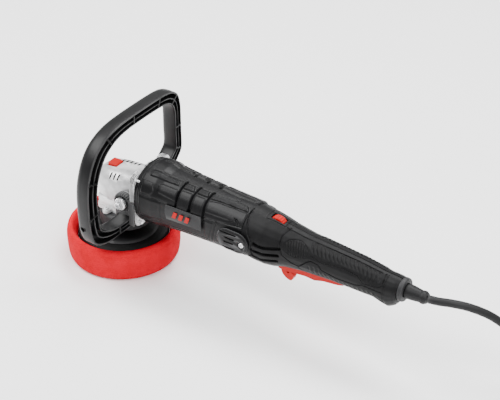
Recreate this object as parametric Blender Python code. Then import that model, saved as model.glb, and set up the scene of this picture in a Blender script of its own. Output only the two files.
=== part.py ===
"""Dual action polisher: gear head, eccentric spindle, foam pad, motor, rear grip and bow handle."""
import math

import bmesh
import bpy
from mathutils import Matrix, Vector

MM = 0.001
GAP = 0.3

# Driving dimensions, in millimetres.
ECC = 6.0                 # throw of the eccentric: spindle axis ahead of the pad centre
AXIS_Z = 117.0            # height of the motor axis over the pad face
PAD_R = 75.0
PAD_RIM_Z = 45.0
PAD_RECESS_R = 61.5
PAD_FLOOR_Z = 28.0
PLATE_R = 60.5
LOOP_H = 1.8
CUSHION_H = 9.0
PLATE_H = 10.4
SPINDLE_Z = PAD_FLOOR_Z + LOOP_H + CUSHION_H + PLATE_H + 4 * GAP   # foot of the pad's spindle
SHROUD_R = 34.4
HEAD_Z0 = 80.0
FLANGE_X = 44.2
COVER_SCREWS = ((-18.8, -18.8), (-18.8, 18.8), (18.8, -18.8), (18.8, 18.8))   # from the spindle axis
FLANGE_SCREWS = ((-30.5, -35.0), (30.5, -35.0), (-30.5, 27.0), (30.5, 27.0))   # from the motor axis
SCREW_SINK = 4.9         # depth of the flange screws' counterbores
MOTOR_X0 = 52.0
SEAM_X = 212.0
GRIP_X1 = 420.0
WALL = 3.2
SHAFT_R = 4.0
CROWN_R = 20.5
CROWN_TOP_Z = 109.4
PINION_R = 7.0
CROWN_TEETH = 17
PINION_TEETH = 9
BRUSH_X = 195.0
SCREW_X = 216.5
BOLT_X = 29.7
BOLT_Z = 105.0
LUG_R = 13.6
LUG_IN = 27.6
LUG_OUT = 35.8
BOLT_TIP = 22.6         # where the handle bolts end in the head, from the middle plane
HANDLE_X1 = 24.0        # rear face of the bow handle
HANDLE_DEPTH = 23.5
TRIGGER_X0 = 250.0
TRIGGER_X1 = 345.0
TRIGGER_HALF = 8.4
HOOK_X = 268.0
HOOK_Z = 88.0
DIAL_X = 246.0
DIAL_Z = 138.5
DIAL_R = 11.0
EXIT_Z = 115.5
CORD_R = 5.0
FLOOR_GAP = 0.6
COIL_MID_R = 54.0
COIL_HALF = 15.0
COIL_H = 20.0

CORD_ROUTE = (
    (455.9, 0.0, 115.5), (468.0, 2.0, 116.2), (482.0, 8.0, 115.8), (501.0, 19.5, 110.5), (523.0, 34.5, 97.0),
    (546.0, 47.5, 75.0), (568.0, 56.5, 49.0), (588.0, 63.0, 26.5), (608.0, 69.5, 11.0), (628.0, 77.0, 5.8),
)
CORD_END_RUN = 36.6       # from the tube's end to where it lies along the coil's outer turn


def clear_scene():
    for ob in list(bpy.data.objects):
        bpy.data.objects.remove(ob, do_unlink=True)


def material(name, colour, roughness=0.5, metallic=0.0):
    mat = bpy.data.materials.new(name)
    mat.use_nodes = True
    bsdf = mat.node_tree.nodes["Principled BSDF"]
    bsdf.inputs["Base Color"].default_value = (*colour, 1.0)
    bsdf.inputs["Roughness"].default_value = roughness
    bsdf.inputs["Metallic"].default_value = metallic
    mat.diffuse_color = (*colour, 1.0)
    return mat


BLACK = (0.018, 0.018, 0.02)
RUBBER = (0.03, 0.03, 0.032)
RED = (0.75, 0.02, 0.02)
STEEL = (0.62, 0.62, 0.64)
CAST = (0.6, 0.61, 0.62)
COPPER = (0.7, 0.33, 0.16)
CARBON = (0.06, 0.06, 0.06)
CLOTH = (0.7, 0.7, 0.7)
GEAR_STEEL = (0.4, 0.4, 0.42)
LAMINATE = (0.3, 0.3, 0.31)
GREY = (0.2, 0.2, 0.21)
BADGE_GREY = (0.09, 0.09, 0.095)
BOARD_GREEN = (0.02, 0.09, 0.04)


def finish(name, bm, colour, roughness=0.5, metallic=0.0, hidden=False):
    bmesh.ops.remove_doubles(bm, verts=bm.verts, dist=1e-6)
    bmesh.ops.recalc_face_normals(bm, faces=bm.faces)
    mesh = bpy.data.meshes.new(name)
    bm.to_mesh(mesh)
    bm.free()
    ob = bpy.data.objects.new(name, mesh)
    bpy.context.scene.collection.objects.link(ob)
    mesh.materials.append(material(name + "_mat", colour, roughness, metallic))
    for poly in mesh.polygons:
        poly.use_smooth = True
    if hidden:
        ob.hide_render = True
        ob.display_type = "WIRE"
    return ob


def set_origin(ob, x, y, z):
    """Move the object's origin to a point (mm) without moving its geometry."""
    at = Vector((x, y, z)) * MM
    ob.data.transform(Matrix.Translation(-at))
    ob.location = at


def loft(bm, rings, closed_ends=True):
    """Skin a list of equal-length closed rings of points (mm)."""
    rows = [[bm.verts.new(Vector(p) * MM) for p in ring] for ring in rings]
    n = len(rows[0])
    for a, b in zip(rows, rows[1:]):
        for i in range(n):
            j = (i + 1) % n
            bm.faces.new((a[i], a[j], b[j], b[i]))
    if closed_ends:
        bm.faces.new(rows[0][::-1])
        bm.faces.new(rows[-1])
    return rows


def turned(bm, profile, frame, seg=32):
    """Turn a closed (radius, along) profile about an axis; points with radius 0 lie on it."""
    origin, along, side, up = frame
    cols = []
    for r, t in profile:
        base = Vector(origin) + Vector(along) * t
        if r < 1e-6:
            cols.append([bm.verts.new(base * MM)])
            continue
        ring = []
        for k in range(seg):
            a = 2 * math.pi * k / seg
            ring.append(bm.verts.new((base + (Vector(side) * math.cos(a) + Vector(up) * math.sin(a)) * r) * MM))
        cols.append(ring)
    count = len(cols)
    for i in range(count):
        a, b = cols[i], cols[(i + 1) % count]
        if len(a) == 1 and len(b) == 1:
            continue
        for k in range(seg):
            j = (k + 1) % seg
            if len(a) == 1:
                bm.faces.new((a[0], b[j], b[k]))
            elif len(b) == 1:
                bm.faces.new((a[k], a[j], b[0]))
            else:
                bm.faces.new((a[k], a[j], b[j], b[k]))


def axis_z(x=0.0, y=0.0, z=0.0):
    return (x, y, z), (0, 0, 1), (1, 0, 0), (0, 1, 0)


def axis_x(x=0.0, y=0.0, z=AXIS_Z):
    return (x, y, z), (1, 0, 0), (0, 1, 0), (0, 0, 1)


def axis_y(x=0.0, y=0.0, z=0.0, sign=1.0):
    return (x, y, z), (0, sign, 0), (0, 0, 1), (sign, 0, 0)


def turned_part(name, profile, frame, colour, roughness=0.5, metallic=0.0, seg=32, hidden=False):
    bm = bmesh.new()
    turned(bm, profile, frame, seg)
    return finish(name, bm, colour, roughness, metallic, hidden)


def rod(r, t0, t1, bevel=0.5):
    """Profile of a solid round bar with chamfered ends."""
    return [(0, t0), (r - bevel, t0), (r, t0 + bevel), (r, t1 - bevel), (r - bevel, t1), (0, t1)]


def tube(r0, r1, t0, t1):
    """Profile of a ring with inner radius r0 and outer radius r1."""
    return [(r0, t0), (r1, t0), (r1, t1), (r0, t1)]


def box_bm(bm, x0, x1, y0, y1, z0, z1, bevel=0.0):
    out = bmesh.ops.create_cube(bm, size=1.0)
    size = Vector((x1 - x0, y1 - y0, z1 - z0)) * MM
    mid = Vector((x0 + x1, y0 + y1, z0 + z1)) * 0.5 * MM
    for v in out["verts"]:
        v.co = Vector((v.co.x * size.x, v.co.y * size.y, v.co.z * size.z)) + mid
    if bevel:
        edges = list({e for v in out["verts"] for e in v.link_edges})
        bmesh.ops.bevel(bm, geom=edges, offset=bevel * MM, segments=2, profile=0.5, affect="EDGES")


def box_part(name, x0, x1, y0, y1, z0, z1, colour, bevel=0.0, roughness=0.5, metallic=0.0, hidden=False):
    bm = bmesh.new()
    box_bm(bm, x0, x1, y0, y1, z0, z1, bevel)
    return finish(name, bm, colour, roughness, metallic, hidden)


def prism(bm, outline, place, t0, t1):
    """Extrude a 2-D outline; place(a, b, t) gives the 3-D point in mm."""
    loft(bm, [[place(a, b, t0) for a, b in outline], [place(a, b, t1) for a, b in outline]])


def superellipse(x, cy, cz, ry, rz, power, n):
    """Ring of points in a plane of constant x."""
    ring = []
    for k in range(n):
        a = 2 * math.pi * k / n
        c, s = math.cos(a), math.sin(a)
        y = math.copysign(abs(c) ** (2.0 / power), c) * ry
        z = math.copysign(abs(s) ** (2.0 / power), s) * rz
        ring.append((x, cy + y, cz + z))
    return ring


def boolean(ob, other, operation="DIFFERENCE", solver="EXACT"):
    mod = ob.modifiers.new(operation.title() + "_" + other.name, "BOOLEAN")
    mod.operation = operation
    mod.solver = solver
    mod.object = other


# ---------------------------------------------------------------- pad and eccentric

def pad_foam():
    r = PAD_R
    profile = [
        (0, 0), (r - 6, 0), (r - 2.6, 1.4), (r - 1.0, 5), (r, 20),
        (r, PAD_RIM_Z - 4), (r - 1.2, PAD_RIM_Z - 1.2), (r - 4, PAD_RIM_Z),
        (PAD_RECESS_R + 3.5, PAD_RIM_Z), (PAD_RECESS_R + 0.9, PAD_RIM_Z - 1.2),
        (PAD_RECESS_R, PAD_RIM_Z - 4), (PAD_RECESS_R, PAD_FLOOR_Z), (0, PAD_FLOOR_Z),
    ]
    turned_part("pad_foam", profile, axis_z(), RED, 0.9, seg=44)


def pad_layers():
    z = PAD_FLOOR_Z + GAP
    turned_part("pad_loop_layer", rod(PLATE_R, z, z + LOOP_H, 0.3), axis_z(), CLOTH, 0.95, seg=36)
    z = z + LOOP_H + GAP
    top = z + CUSHION_H
    cushion = [(0, z), (PLATE_R - 1, z), (PLATE_R, z + 1), (PLATE_R - 1.5, top - 2), (PLATE_R - 7, top), (0, top)]
    turned_part("backing_cushion", cushion, axis_z(), RUBBER, 0.7, seg=36)
    z = top + GAP
    top = z + PLATE_H
    plate = [(0, z), (46, z), (47, z + 1), (44, z + 3.2), (20, z + 5), (14, z + 8), (13, top), (0, top)]
    turned_part("backing_plate", plate, axis_z(), BLACK, 0.45, seg=32)


def pad_spindle():
    z = SPINDLE_Z
    profile = [
        (0, z), (9, z), (9.6, z + 0.6), (9.6, z + 5), (7.0, z + 5.6), (6.0, z + 6), (6.0, z + 14.6), (0, z + 14.6),
    ]
    turned_part("pad_spindle", profile, axis_z(), STEEL, 0.3, 1.0, seg=24)


def eccentric():
    z = SPINDLE_Z + 6.4
    turned_part("eccentric_bearing", tube(6.3, 13.0, z, z + 8), axis_z(), STEEL, 0.3, 1.0, seg=28)
    bm = bmesh.new()
    prism(bm, weight_outline(), lambda a, b, t: (a, b, t), z - 1.6, z + 11)
    weight = finish("eccentric_weight", bm, GEAR_STEEL, 0.45, 1.0)
    set_origin(weight, ECC, 0, 0)
    pocket = turned_part("weight_pocket", rod(13.3, z - 4, z + 8.6, 0.2), axis_z(), BLACK, seg=28, hidden=True)
    bore = turned_part("weight_bore", rod(7.3, z + 7, z + 20, 0.2), axis_z(ECC), BLACK, seg=24, hidden=True)
    boolean(weight, pocket)
    boolean(weight, bore)


def weight_outline():
    """Hub around the pad bearing with the heavy lobe on the other side of the spindle axis."""
    pts = []
    for k in range(9):
        a = math.radians(110 + 140 * k / 8)
        pts.append((16.8 * math.cos(a), 16.8 * math.sin(a)))
    for k in range(13):
        a = math.radians(-72 + 144 * k / 12)
        pts.append((ECC + 30.0 * math.cos(a), 30.0 * math.sin(a)))
    return pts


def main_spindle():
    z = SPINDLE_Z + 6.4 + 9.0
    profile = [
        (0, z), (7.0, z), (7.0, z + 9), (8.0, z + 9), (8.0, 82), (6.0, 82), (6.0, 96.6), (5.0, 97), (5.0, 122.0),
        (0, 122.0),
    ]
    ob = turned_part("main_spindle", profile, axis_z(ECC), STEEL, 0.3, 1.0, seg=24)
    set_origin(ob, ECC, 0, 0)


def shroud():
    z0 = SPINDLE_Z + 5.0
    profile = [
        (SHROUD_R - 2.4, z0), (SHROUD_R, z0), (SHROUD_R + 0.6, z0 + 1.5), (SHROUD_R, HEAD_Z0 - 9),
        (SHROUD_R - 3, HEAD_Z0 - 6.3), (20, HEAD_Z0 - 6.3), (20, HEAD_Z0 - 8.6), (SHROUD_R - 3.4, HEAD_Z0 - 8.6),
    ]
    skirt = turned_part("spindle_shroud", profile, axis_z(ECC), BLACK, 0.5, seg=32)
    for i, (x, y) in enumerate(COVER_SCREWS):
        hole = turned_part("shroud_hole_%d" % i, rod(2.5, 60, 90, 0.2), axis_z(ECC + x, y), BLACK, seg=8, hidden=True)
        boolean(skirt, hole)


# ---------------------------------------------------------------- gear head

def rounded_square(half_a, half_b, radius, n=5):
    pts = []
    for cx, cy, a0 in ((1, 1, 0), (-1, 1, 90), (-1, -1, 180), (1, -1, 270)):
        for k in range(n):
            a = math.radians(a0 + 90 * k / (n - 1))
            pts.append((cx * (half_a - radius) + radius * math.cos(a), cy * (half_b - radius) + radius * math.sin(a)))
    return pts


def bearing_cover():
    bm = bmesh.new()
    outline = rounded_square(30, 25.5, 8)
    prism(bm, outline, lambda a, b, t: (a + ECC, b, t), HEAD_Z0 - 6, HEAD_Z0 - GAP)
    cover = finish("bearing_cover", bm, CAST, 0.4, 1.0)
    bore = turned_part("cover_bore", rod(9.0, 60, 90, 0.2), axis_z(ECC), BLACK, seg=24, hidden=True)
    boolean(cover, bore)
    for i, (x, y) in enumerate(COVER_SCREWS):
        hole = turned_part("cover_hole_%d" % i, rod(2.5, 60, 90, 0.2), axis_z(ECC + x, y), BLACK, seg=8, hidden=True)
        boolean(cover, hole)
        z = HEAD_Z0 - 8.6 - GAP
        screw = [(0, z - 2.6), (3.6, z - 2.6), (4.2, z - 2), (4.2, z), (2.1, z), (2.1, z + 14), (0, z + 14)]
        turned_part("cover_screw_%d" % (i + 1), screw, axis_z(ECC + x, y), STEEL, 0.3, 1.0, seg=10)


HEAD_SECTIONS = (
    (-31.0, 8.0, 96.0, 116.0), (-28.0, 15.5, 87.0, 124.0), (-18.0, 22.5, 82.0, 131.0), (-2.0, 26.0, HEAD_Z0, 133.4),
    (14.0, 26.6, HEAD_Z0, 135.0), (24.0, 26.0, 82.0, 136.5), (FLANGE_X - 4, 26.0, 85.0, 139.0),
)


def flange_ring(x, half, z0, z1, power, n):
    return superellipse(x, 0, (z0 + z1) / 2, half, (z1 - z0) / 2, power, n)


def gear_head():
    n = 32
    rings = [superellipse(x, 0, (z0 + z1) / 2, ry, (z1 - z0) / 2, 3.2, n) for x, ry, z0, z1 in HEAD_SECTIONS]
    rings.append(flange_ring(FLANGE_X - 0.4, 26.8, 84.0, 139.0, 3.2, n))
    rings.append(flange_ring(FLANGE_X, 37.5, 74.5, 151.5, 8.0, n))
    rings.append(flange_ring(MOTOR_X0 - GAP, 37.5, 74.5, 151.5, 8.0, n))
    bm = bmesh.new()
    loft(bm, rings)
    head = finish("gear_head_housing", bm, CAST, 0.4, 1.0)
    for tag, sign in (("left", -1), ("right", 1)):
        axis = axis_y(BOLT_X, 0, BOLT_Z, sign)
        boss = turned_part("head_boss_" + tag, rod(12.0, 22.0, LUG_IN - GAP, 0.5), axis, CAST, seg=24, hidden=True)
        boolean(head, boss, "UNION", "MANIFOLD")
    base_bm = bmesh.new()
    prism(base_bm, rounded_square(29, 25, 8, 4), lambda a, b, t: (a + ECC, b, t), HEAD_Z0, HEAD_Z0 + 12)
    boolean(head, finish("head_base", base_bm, CAST, hidden=True), "UNION", "MANIFOLD")
    cutters = [
        turned_part("gear_chamber", rod(22, 70, 112.0, 0.4), axis_z(ECC), BLACK, seg=28, hidden=True),
        turned_part("upper_seat", rod(9.8, 105, 123.0, 0.3), axis_z(ECC), BLACK, seg=20, hidden=True),
        turned_part("pinion_bore", rod(9.0, 14.0, 60, 0.3), axis_x(), BLACK, seg=20, hidden=True),
        turned_part("bearing_seat", rod(13.3, 38.0, 60, 0.3), axis_x(), BLACK, seg=24, hidden=True),
        turned_part("lock_bore", rod(3.0, 105, 150, 0.2), axis_z(ECC - 14), BLACK, seg=10, hidden=True),
        turned_part("lock_well", rod(5.4, 119.2, 150, 0.2), axis_z(ECC - 14), BLACK, seg=14, hidden=True),
        box_part("button_well", ECC - 22, ECC - 6, -8, 8, 124.6, 150, BLACK, hidden=True),
    ]
    for i, (y, z) in enumerate(FLANGE_SCREWS):
        sink = rod(4.6, 36, FLANGE_X + SCREW_SINK, 0.2)
        cutters.append(turned_part("flange_sink_%d" % i, sink, axis_x(0, y, AXIS_Z + z), BLACK, seg=12, hidden=True))
        cutters.append(turned_part("flange_hole_%d" % i, rod(2.5, 37, 60, 0.2), axis_x(0, y, AXIS_Z + z), BLACK,
                                   seg=8, hidden=True))
    for i, (x, y) in enumerate(COVER_SCREWS):
        cutters.append(turned_part("screw_bore_%d" % i, rod(2.5, 70, 96, 0.2), axis_z(ECC + x, y), BLACK,
                                   seg=8, hidden=True))
    for i, sign in enumerate((-1, 1)):
        axis = axis_y(BOLT_X, 0, BOLT_Z, sign)
        bore = rod(4.3, BOLT_TIP - 0.6, 50, 0.2)
        cutters.append(turned_part("bolt_bore_%d" % i, bore, axis, BLACK, seg=12, hidden=True))
    for i in range(3):
        x = 8.0 + 6.5 * i
        cutters.append(box_part("top_vent_%d" % i, x, x + 3.2, 8, 17, 131.5, 150, BLACK, hidden=True))
    for cutter in cutters:
        boolean(head, cutter, solver="MANIFOLD")


def spindle_bearings():
    turned_part("spindle_bearing_lower", tube(8.3, 17, 81.4, 91.0), axis_z(ECC), STEEL, 0.3, 1.0, seg=28)
    turned_part("spindle_bearing_upper", tube(5.3, 9.5, 113.6, 120.6), axis_z(ECC), STEEL, 0.3, 1.0, seg=24)


def tooth_ring(teeth, r_root, r_tip):
    pts = []
    for k in range(teeth):
        for f, r in ((0.0, r_root), (0.28, r_root), (0.42, r_tip), (0.86, r_tip)):
            a = 2 * math.pi * (k + f) / teeth
            pts.append((r * math.cos(a), r * math.sin(a)))
    return pts


def crown_ring(r, low, high):
    """Ring of points round the spindle axis, stepping between low and high at every tooth."""
    count = CROWN_TEETH * 4
    ring = []
    for k in range(count):
        a = 2 * math.pi * k / count
        ring.append((ECC + r * math.cos(a), r * math.sin(a), high if k % 4 >= 2 else low))
    return ring


def crown_gear():
    """Bevel wheel with its teeth on the upper face."""
    z0, z1 = 98.6, 105.0
    bm = bmesh.new()
    rings = [
        crown_ring(5.3, z0, z0), crown_ring(14, z0, z0), crown_ring(CROWN_R, z0 + 3.4, z0 + 3.4),
        crown_ring(CROWN_R, z1, CROWN_TOP_Z - 0.4), crown_ring(12.5, z1 + 1.4, CROWN_TOP_Z),
        crown_ring(11.5, z1 - 0.5, z1 - 0.5), crown_ring(5.3, z1 - 0.5, z1 - 0.5),
    ]
    n = len(rings[0])
    rows = loft(bm, rings, closed_ends=False)
    for i in range(n):
        j = (i + 1) % n
        bm.faces.new((rows[-1][i], rows[-1][j], rows[0][j], rows[0][i]))
    bmesh.ops.triangulate(bm, faces=[f for f in bm.faces if len(f.verts) == 4])
    ob = finish("crown_gear", bm, GEAR_STEEL, 0.35, 1.0)
    set_origin(ob, ECC, 0, 0)


def pinion_gear():
    bm = bmesh.new()
    big = tooth_ring(PINION_TEETH, PINION_R - 1.9, PINION_R)
    small = tooth_ring(PINION_TEETH, PINION_R - 3.0, PINION_R - 1.6)
    x0, x1 = ECC + 11.6, ECC + 20.0
    loft(bm, [[(x0, a, AXIS_Z + b) for a, b in small], [(x1, a, AXIS_Z + b) for a, b in big]])
    ob = finish("pinion_gear", bm, GEAR_STEEL, 0.35, 1.0)
    set_origin(ob, 0, 0, AXIS_Z)


def lock_button():
    x = ECC - 14
    bm = bmesh.new()
    outline = rounded_square(7.2, 7.2, 1.8, 4)
    rings = [
        [(x + a, b, 128.4) for a, b in outline],
        [(x + a, b, 135.0) for a, b in outline],
        [(x + a * 0.86, b * 0.86, 136.0) for a, b in outline],
    ]
    loft(bm, rings)
    ob = finish("lock_button", bm, RED, 0.4)
    stem_profile = [(0, 112.8), (2.6, 112.8), (2.6, 130), (0, 130)]
    stem = turned_part("lock_stem", stem_profile, axis_z(x), RED, seg=12, hidden=True)
    boolean(ob, stem, "UNION")
    set_origin(ob, x, 0, 0)
    helix("lock_spring", (x, 0, 119.9), 4.1, 0.45, 7.4, 4)


def helix(name, base, radius, wire, height, turns):
    bm = bmesh.new()
    steps = turns * 8
    rings = []
    for k in range(steps + 1):
        a = 2 * math.pi * turns * k / steps
        centre = Vector((base[0] + radius * math.cos(a), base[1] + radius * math.sin(a), base[2] + height * k / steps))
        out = Vector((math.cos(a), math.sin(a), 0))
        ring = []
        for m in range(4):
            b = 2 * math.pi * m / 4
            ring.append(tuple(centre + out * wire * math.cos(b) + Vector((0, 0, wire * math.sin(b)))))
        rings.append(ring)
    loft(bm, rings)
    return finish(name, bm, STEEL, 0.3, 1.0)


# ---------------------------------------------------------------- motor

MOTOR_SECTIONS = (
    (MOTOR_X0, 39.0, 40.5), (58.0, 41.5, 43.0), (78.0, 41.0, 42.0), (88.0, 38.5, 39.5), (120.0, 36.5, 37.5),
    (160.0, 35.0, 36.0), (SEAM_X - GAP, 34.0, 34.5),
)
GROOVES = (113.8, 134.0, 154.2)
GROOVE_DEPTH = 1.3


def section_at(x):
    """Half width and half height of the motor housing at a station along the axis."""
    for a, b in zip(MOTOR_SECTIONS, MOTOR_SECTIONS[1:]):
        if a[0] <= x <= b[0]:
            t = (x - a[0]) / (b[0] - a[0])
            return a[1] + (b[1] - a[1]) * t, a[2] + (b[2] - a[2]) * t
    return MOTOR_SECTIONS[-1][1:]


def motor_stations():
    stations = [(x, 0.0) for x, _, _ in MOTOR_SECTIONS]
    for x in GROOVES:
        stations += [(x - 1.2, 0.0), (x, GROOVE_DEPTH), (x + 1.2, 0.0)]
    return sorted(stations)


def motor_housing():
    n = 28
    rings = []
    for x, depth in motor_stations():
        ry, rz = section_at(x)
        rings.append(superellipse(x, 0, AXIS_Z, ry - depth, rz - depth, 2.35, n))
    bm = bmesh.new()
    loft(bm, rings)
    housing = finish("motor_housing", bm, BLACK, 0.45)
    cutters = [
        turned_part("motor_bore", [(0, 58), (33.6, 58), (33.6, 84), (31.4, 90), (31.4, 230), (0, 230)],
                    axis_x(), BLACK, seg=28, hidden=True),
        turned_part("nose_bore", rod(13.3, 40, 60, 0.2), axis_x(), BLACK, seg=20, hidden=True),
    ]
    for i, (y, z) in enumerate(FLANGE_SCREWS):
        cutters.append(turned_part("housing_hole_%d" % i, rod(2.5, 40, 60, 0.2), axis_x(0, y, AXIS_Z + z), BLACK,
                                   seg=8, hidden=True))
    for i, sign in enumerate((-1, 1)):
        cutters.append(turned_part("brush_port_%d" % i, rod(7.6, 20, 60, 0.2), axis_y(BRUSH_X, 0, AXIS_Z, sign),
                                   BLACK, seg=16, hidden=True))
    for cutter in cutters:
        boolean(housing, cutter, solver="MANIFOLD")


def flange_screws():
    for i, (y, z) in enumerate(FLANGE_SCREWS):
        x = FLANGE_X + SCREW_SINK - GAP
        tip = MOTOR_X0 + 5
        profile = [(0, x - 4.2), (3.4, x - 4.2), (4.0, x - 3.6), (4.0, x), (2.1, x), (2.1, tip), (0, tip)]
        turned_part("flange_screw_%d" % (i + 1), profile, axis_x(0, y, AXIS_Z + z), STEEL, 0.3, 1.0, seg=10)


def armature():
    shaft = [
        (0, ECC + 20.3), (5.0, ECC + 20.3), (5.0, 76), (SHAFT_R, 76), (SHAFT_R, 216), (0, 216),
    ]
    turned_part("armature_shaft", shaft, axis_x(), STEEL, 0.3, 1.0, seg=20)
    turned_part("motor_bearing_front", tube(5.3, 13.0, 41, 51), axis_x(), STEEL, 0.3, 1.0, seg=24)
    turned_part("motor_bearing_rear", tube(SHAFT_R + GAP, 9.5, 206, 213), axis_x(), STEEL, 0.3, 1.0, seg=24)
    fan()
    core = [(SHAFT_R + GAP, 94), (16, 92), (19.5, 96), (19.5, 152), (16, 157), (SHAFT_R + GAP, 155)]
    turned_part("armature_core", core, axis_x(), COPPER, 0.4, 0.8, seg=28)
    comm = tube(SHAFT_R + GAP, 13.0, 186, 203)
    turned_part("commutator", comm, axis_x(), COPPER, 0.3, 1.0, seg=28)
    stator = tube(20.6, 31.0, 98, 150)
    turned_part("stator_core", stator, axis_x(), LAMINATE, 0.5, 0.8, seg=32)


def fan():
    bm = bmesh.new()
    blades, x0, x1 = 12, 66.0, 78.0
    prism(bm, fan_outline(blades), lambda a, b, t: (t, a, AXIS_Z + b), x0, x1)
    ob = finish("cooling_fan", bm, BLACK, 0.5)
    bore = turned_part("fan_bore", rod(5.3, 60, 90, 0.2), axis_x(), BLACK, seg=20, hidden=True)
    boolean(ob, bore)
    set_origin(ob, 0, 0, AXIS_Z)


def fan_outline(blades):
    pts = []
    for k in range(blades):
        for f, r in ((0.0, 12.0), (0.1, 30.0), (0.24, 30.0), (0.34, 12.0)):
            a = 2 * math.pi * (k + f) / blades
            pts.append((r * math.cos(a), r * math.sin(a)))
    return pts


def obround(x0, x1, z, half, n=8):
    """Outline with round ends, from x0 to x1."""
    pts = []
    for k in range(n + 1):
        a = math.radians(-90 + 180 * k / n)
        pts.append((x1 - half + half * math.cos(a), z + half * math.sin(a)))
    for k in range(n + 1):
        a = math.radians(90 + 180 * k / n)
        pts.append((x0 + half + half * math.cos(a), z + half * math.sin(a)))
    return pts


def brushes():
    for tag, sign in (("left", -1), ("right", 1)):
        y0, y1 = sorted((sign * 13.4, sign * 27.0))
        box_part("carbon_brush_" + tag, BRUSH_X - 5, BRUSH_X + 5, y0, y1, AXIS_Z - 3.2, AXIS_Z + 3.2, CARBON, 0.3)
        bm = bmesh.new()
        wide = obround(179, 225, AXIS_Z - 1, 14.5)
        small = obround(181, 223, AXIS_Z - 1, 12.5)
        loft(bm, [[(a, sign * t, b) for a, b in line] for line, t in ((wide, 35.3), (wide, 37.0), (small, 38.6))])
        cover = finish("brush_cover_" + tag, bm, BLACK, 0.45)
        plug = turned_part("brush_stem_" + tag, rod(7.2, 27.6, 36.2, 0.4), axis_y(BRUSH_X, 0, AXIS_Z, sign), BLACK,
                           seg=16, hidden=True)
        seat = turned_part("screw_seat_" + tag, rod(4.6, 36.8, 44, 0.2), axis_y(SCREW_X, 0, AXIS_Z - 1, sign), BLACK,
                           seg=16, hidden=True)
        boolean(cover, plug, "UNION")
        boolean(cover, seat)
        screw = [(0, 37.1), (4.2, 37.1), (4.2, 38.4), (3.4, 39.2), (0, 39.2)]
        turned_part("brush_screw_" + tag, screw, axis_y(SCREW_X, 0, AXIS_Z - 1, sign), STEEL, 0.3, 1.0, seg=16)


def skin_y(x, z):
    """Half width of the motor housing's surface at a point of its flank."""
    ry, rz = section_at(x)
    return ry * (1.0 - min(1.0, abs((z - AXIS_Z) / rz)) ** 2.35) ** (1 / 2.35)


def badges():
    """Blank dark plates that follow both flanks of the motor housing."""
    rows, cols = 5, 5
    for tag, sign in (("left", -1), ("right", 1)):
        rings = []
        for j in range(rows):
            t = j / (rows - 1)
            z = 130.5 - 19.0 * t
            x0, x1 = 101.0 + 4.0 * max(0.0, t - 0.5), 155.0 - 5.0 * max(0.0, 0.3 - t)
            xs = [x0 + (x1 - x0) * i / (cols - 1) for i in range(cols)]
            inner = [(x, sign * (skin_y(x, z) + 0.4), z) for x in xs]
            outer = [(x, sign * (skin_y(x, z) + 1.6), z) for x in reversed(xs)]
            rings.append(inner + outer)
        bm = bmesh.new()
        loft(bm, rings)
        finish("badge_" + tag, bm, BADGE_GREY, 0.4)


# ---------------------------------------------------------------- rear grip

GRIP_SECTIONS = (
    (SEAM_X, AXIS_Z, 34.0, 34.0), (224.0, 115.0, 33.6, 34.6), (238.0, 114.0, 32.4, 34.6), (251.0, 114.0, 30.0, 32.8),
    (266.0, 115.0, 26.6, 29.0), (290.0, 115.0, 24.0, 25.5), (330.0, 115.2, 22.0, 23.0), (365.0, 114.2, 20.5, 21.8),
    (388.0, 112.8, 19.2, 20.2), (400.0, 110.0, 18.4, 21.6), (408.0, 109.0, 18.0, 22.5), (416.0, 111.5, 17.4, 19.5),
    (GRIP_X1, 114.2, 15.6, 15.8),
)


def half_section(x, cz, ry, rz, side, wall, n=10):
    """C-shaped ring: the outer wall from top to bottom, then the inner wall back up."""
    ring = []
    y0 = GAP / 2
    for k in range(n + 1):
        a = math.pi / 2 - math.pi * k / n
        ring.append((x, side * max(y0, ry * math.cos(a)), cz + rz * math.sin(a)))
    for k in range(n, -1, -1):
        a = math.pi / 2 - math.pi * k / n
        ring.append((x, side * max(y0, (ry - wall) * math.cos(a)), cz + (rz - wall) * math.sin(a)))
    return ring


def rear_grip():
    slot = box_part("trigger_slot", TRIGGER_X0 - 4, TRIGGER_X1 + 3, -TRIGGER_HALF - 0.8, TRIGGER_HALF + 0.8, 60, 102,
                    BLACK, hidden=True)
    window = box_part("dial_slot", DIAL_X - 11, DIAL_X + 11, -5.2, 5.2, 130, 160, BLACK, hidden=True)
    vents = []
    for i in range(3):
        z = AXIS_Z - 5.0 - 6.4 * i
        vents.append(box_part("vent_%d" % i, 222.7, 250.3, -60, 60, z - 1.5, z + 1.5, BLACK, hidden=True))
    for tag, side in (("left", -1), ("right", 1)):
        bm = bmesh.new()
        loft(bm, [half_section(x, cz, ry, rz, side, WALL) for x, cz, ry, rz in GRIP_SECTIONS])
        shell = finish("rear_grip_" + tag, bm, BLACK, 0.55)
        for cutter in (slot, window, *vents):
            boolean(shell, cutter, solver="MANIFOLD")


def trigger():
    outline = [
        (TRIGGER_X0, 84), (TRIGGER_X0 + 2, 80), (TRIGGER_X0 + 14, 79.4), (290, 83.2), (304, 82.6), (316, 86.4),
        (336, 89.4), (TRIGGER_X1, 92), (TRIGGER_X1, 96.4), (338, 98), (262, 98), (TRIGGER_X0, 93),
    ]
    bm = bmesh.new()
    prism(bm, outline, lambda a, b, t: (a, t, b), -TRIGGER_HALF, TRIGGER_HALF)
    ob = finish("trigger_paddle", bm, RED, 0.4)
    pocket = box_part("hook_pocket", HOOK_X - 22, HOOK_X + 7, -3.8, 3.8, 70, 94.6, BLACK, hidden=True)
    boolean(ob, pocket)
    set_origin(ob, TRIGGER_X1 - 5, 0, 93)
    hook_lever()


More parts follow.
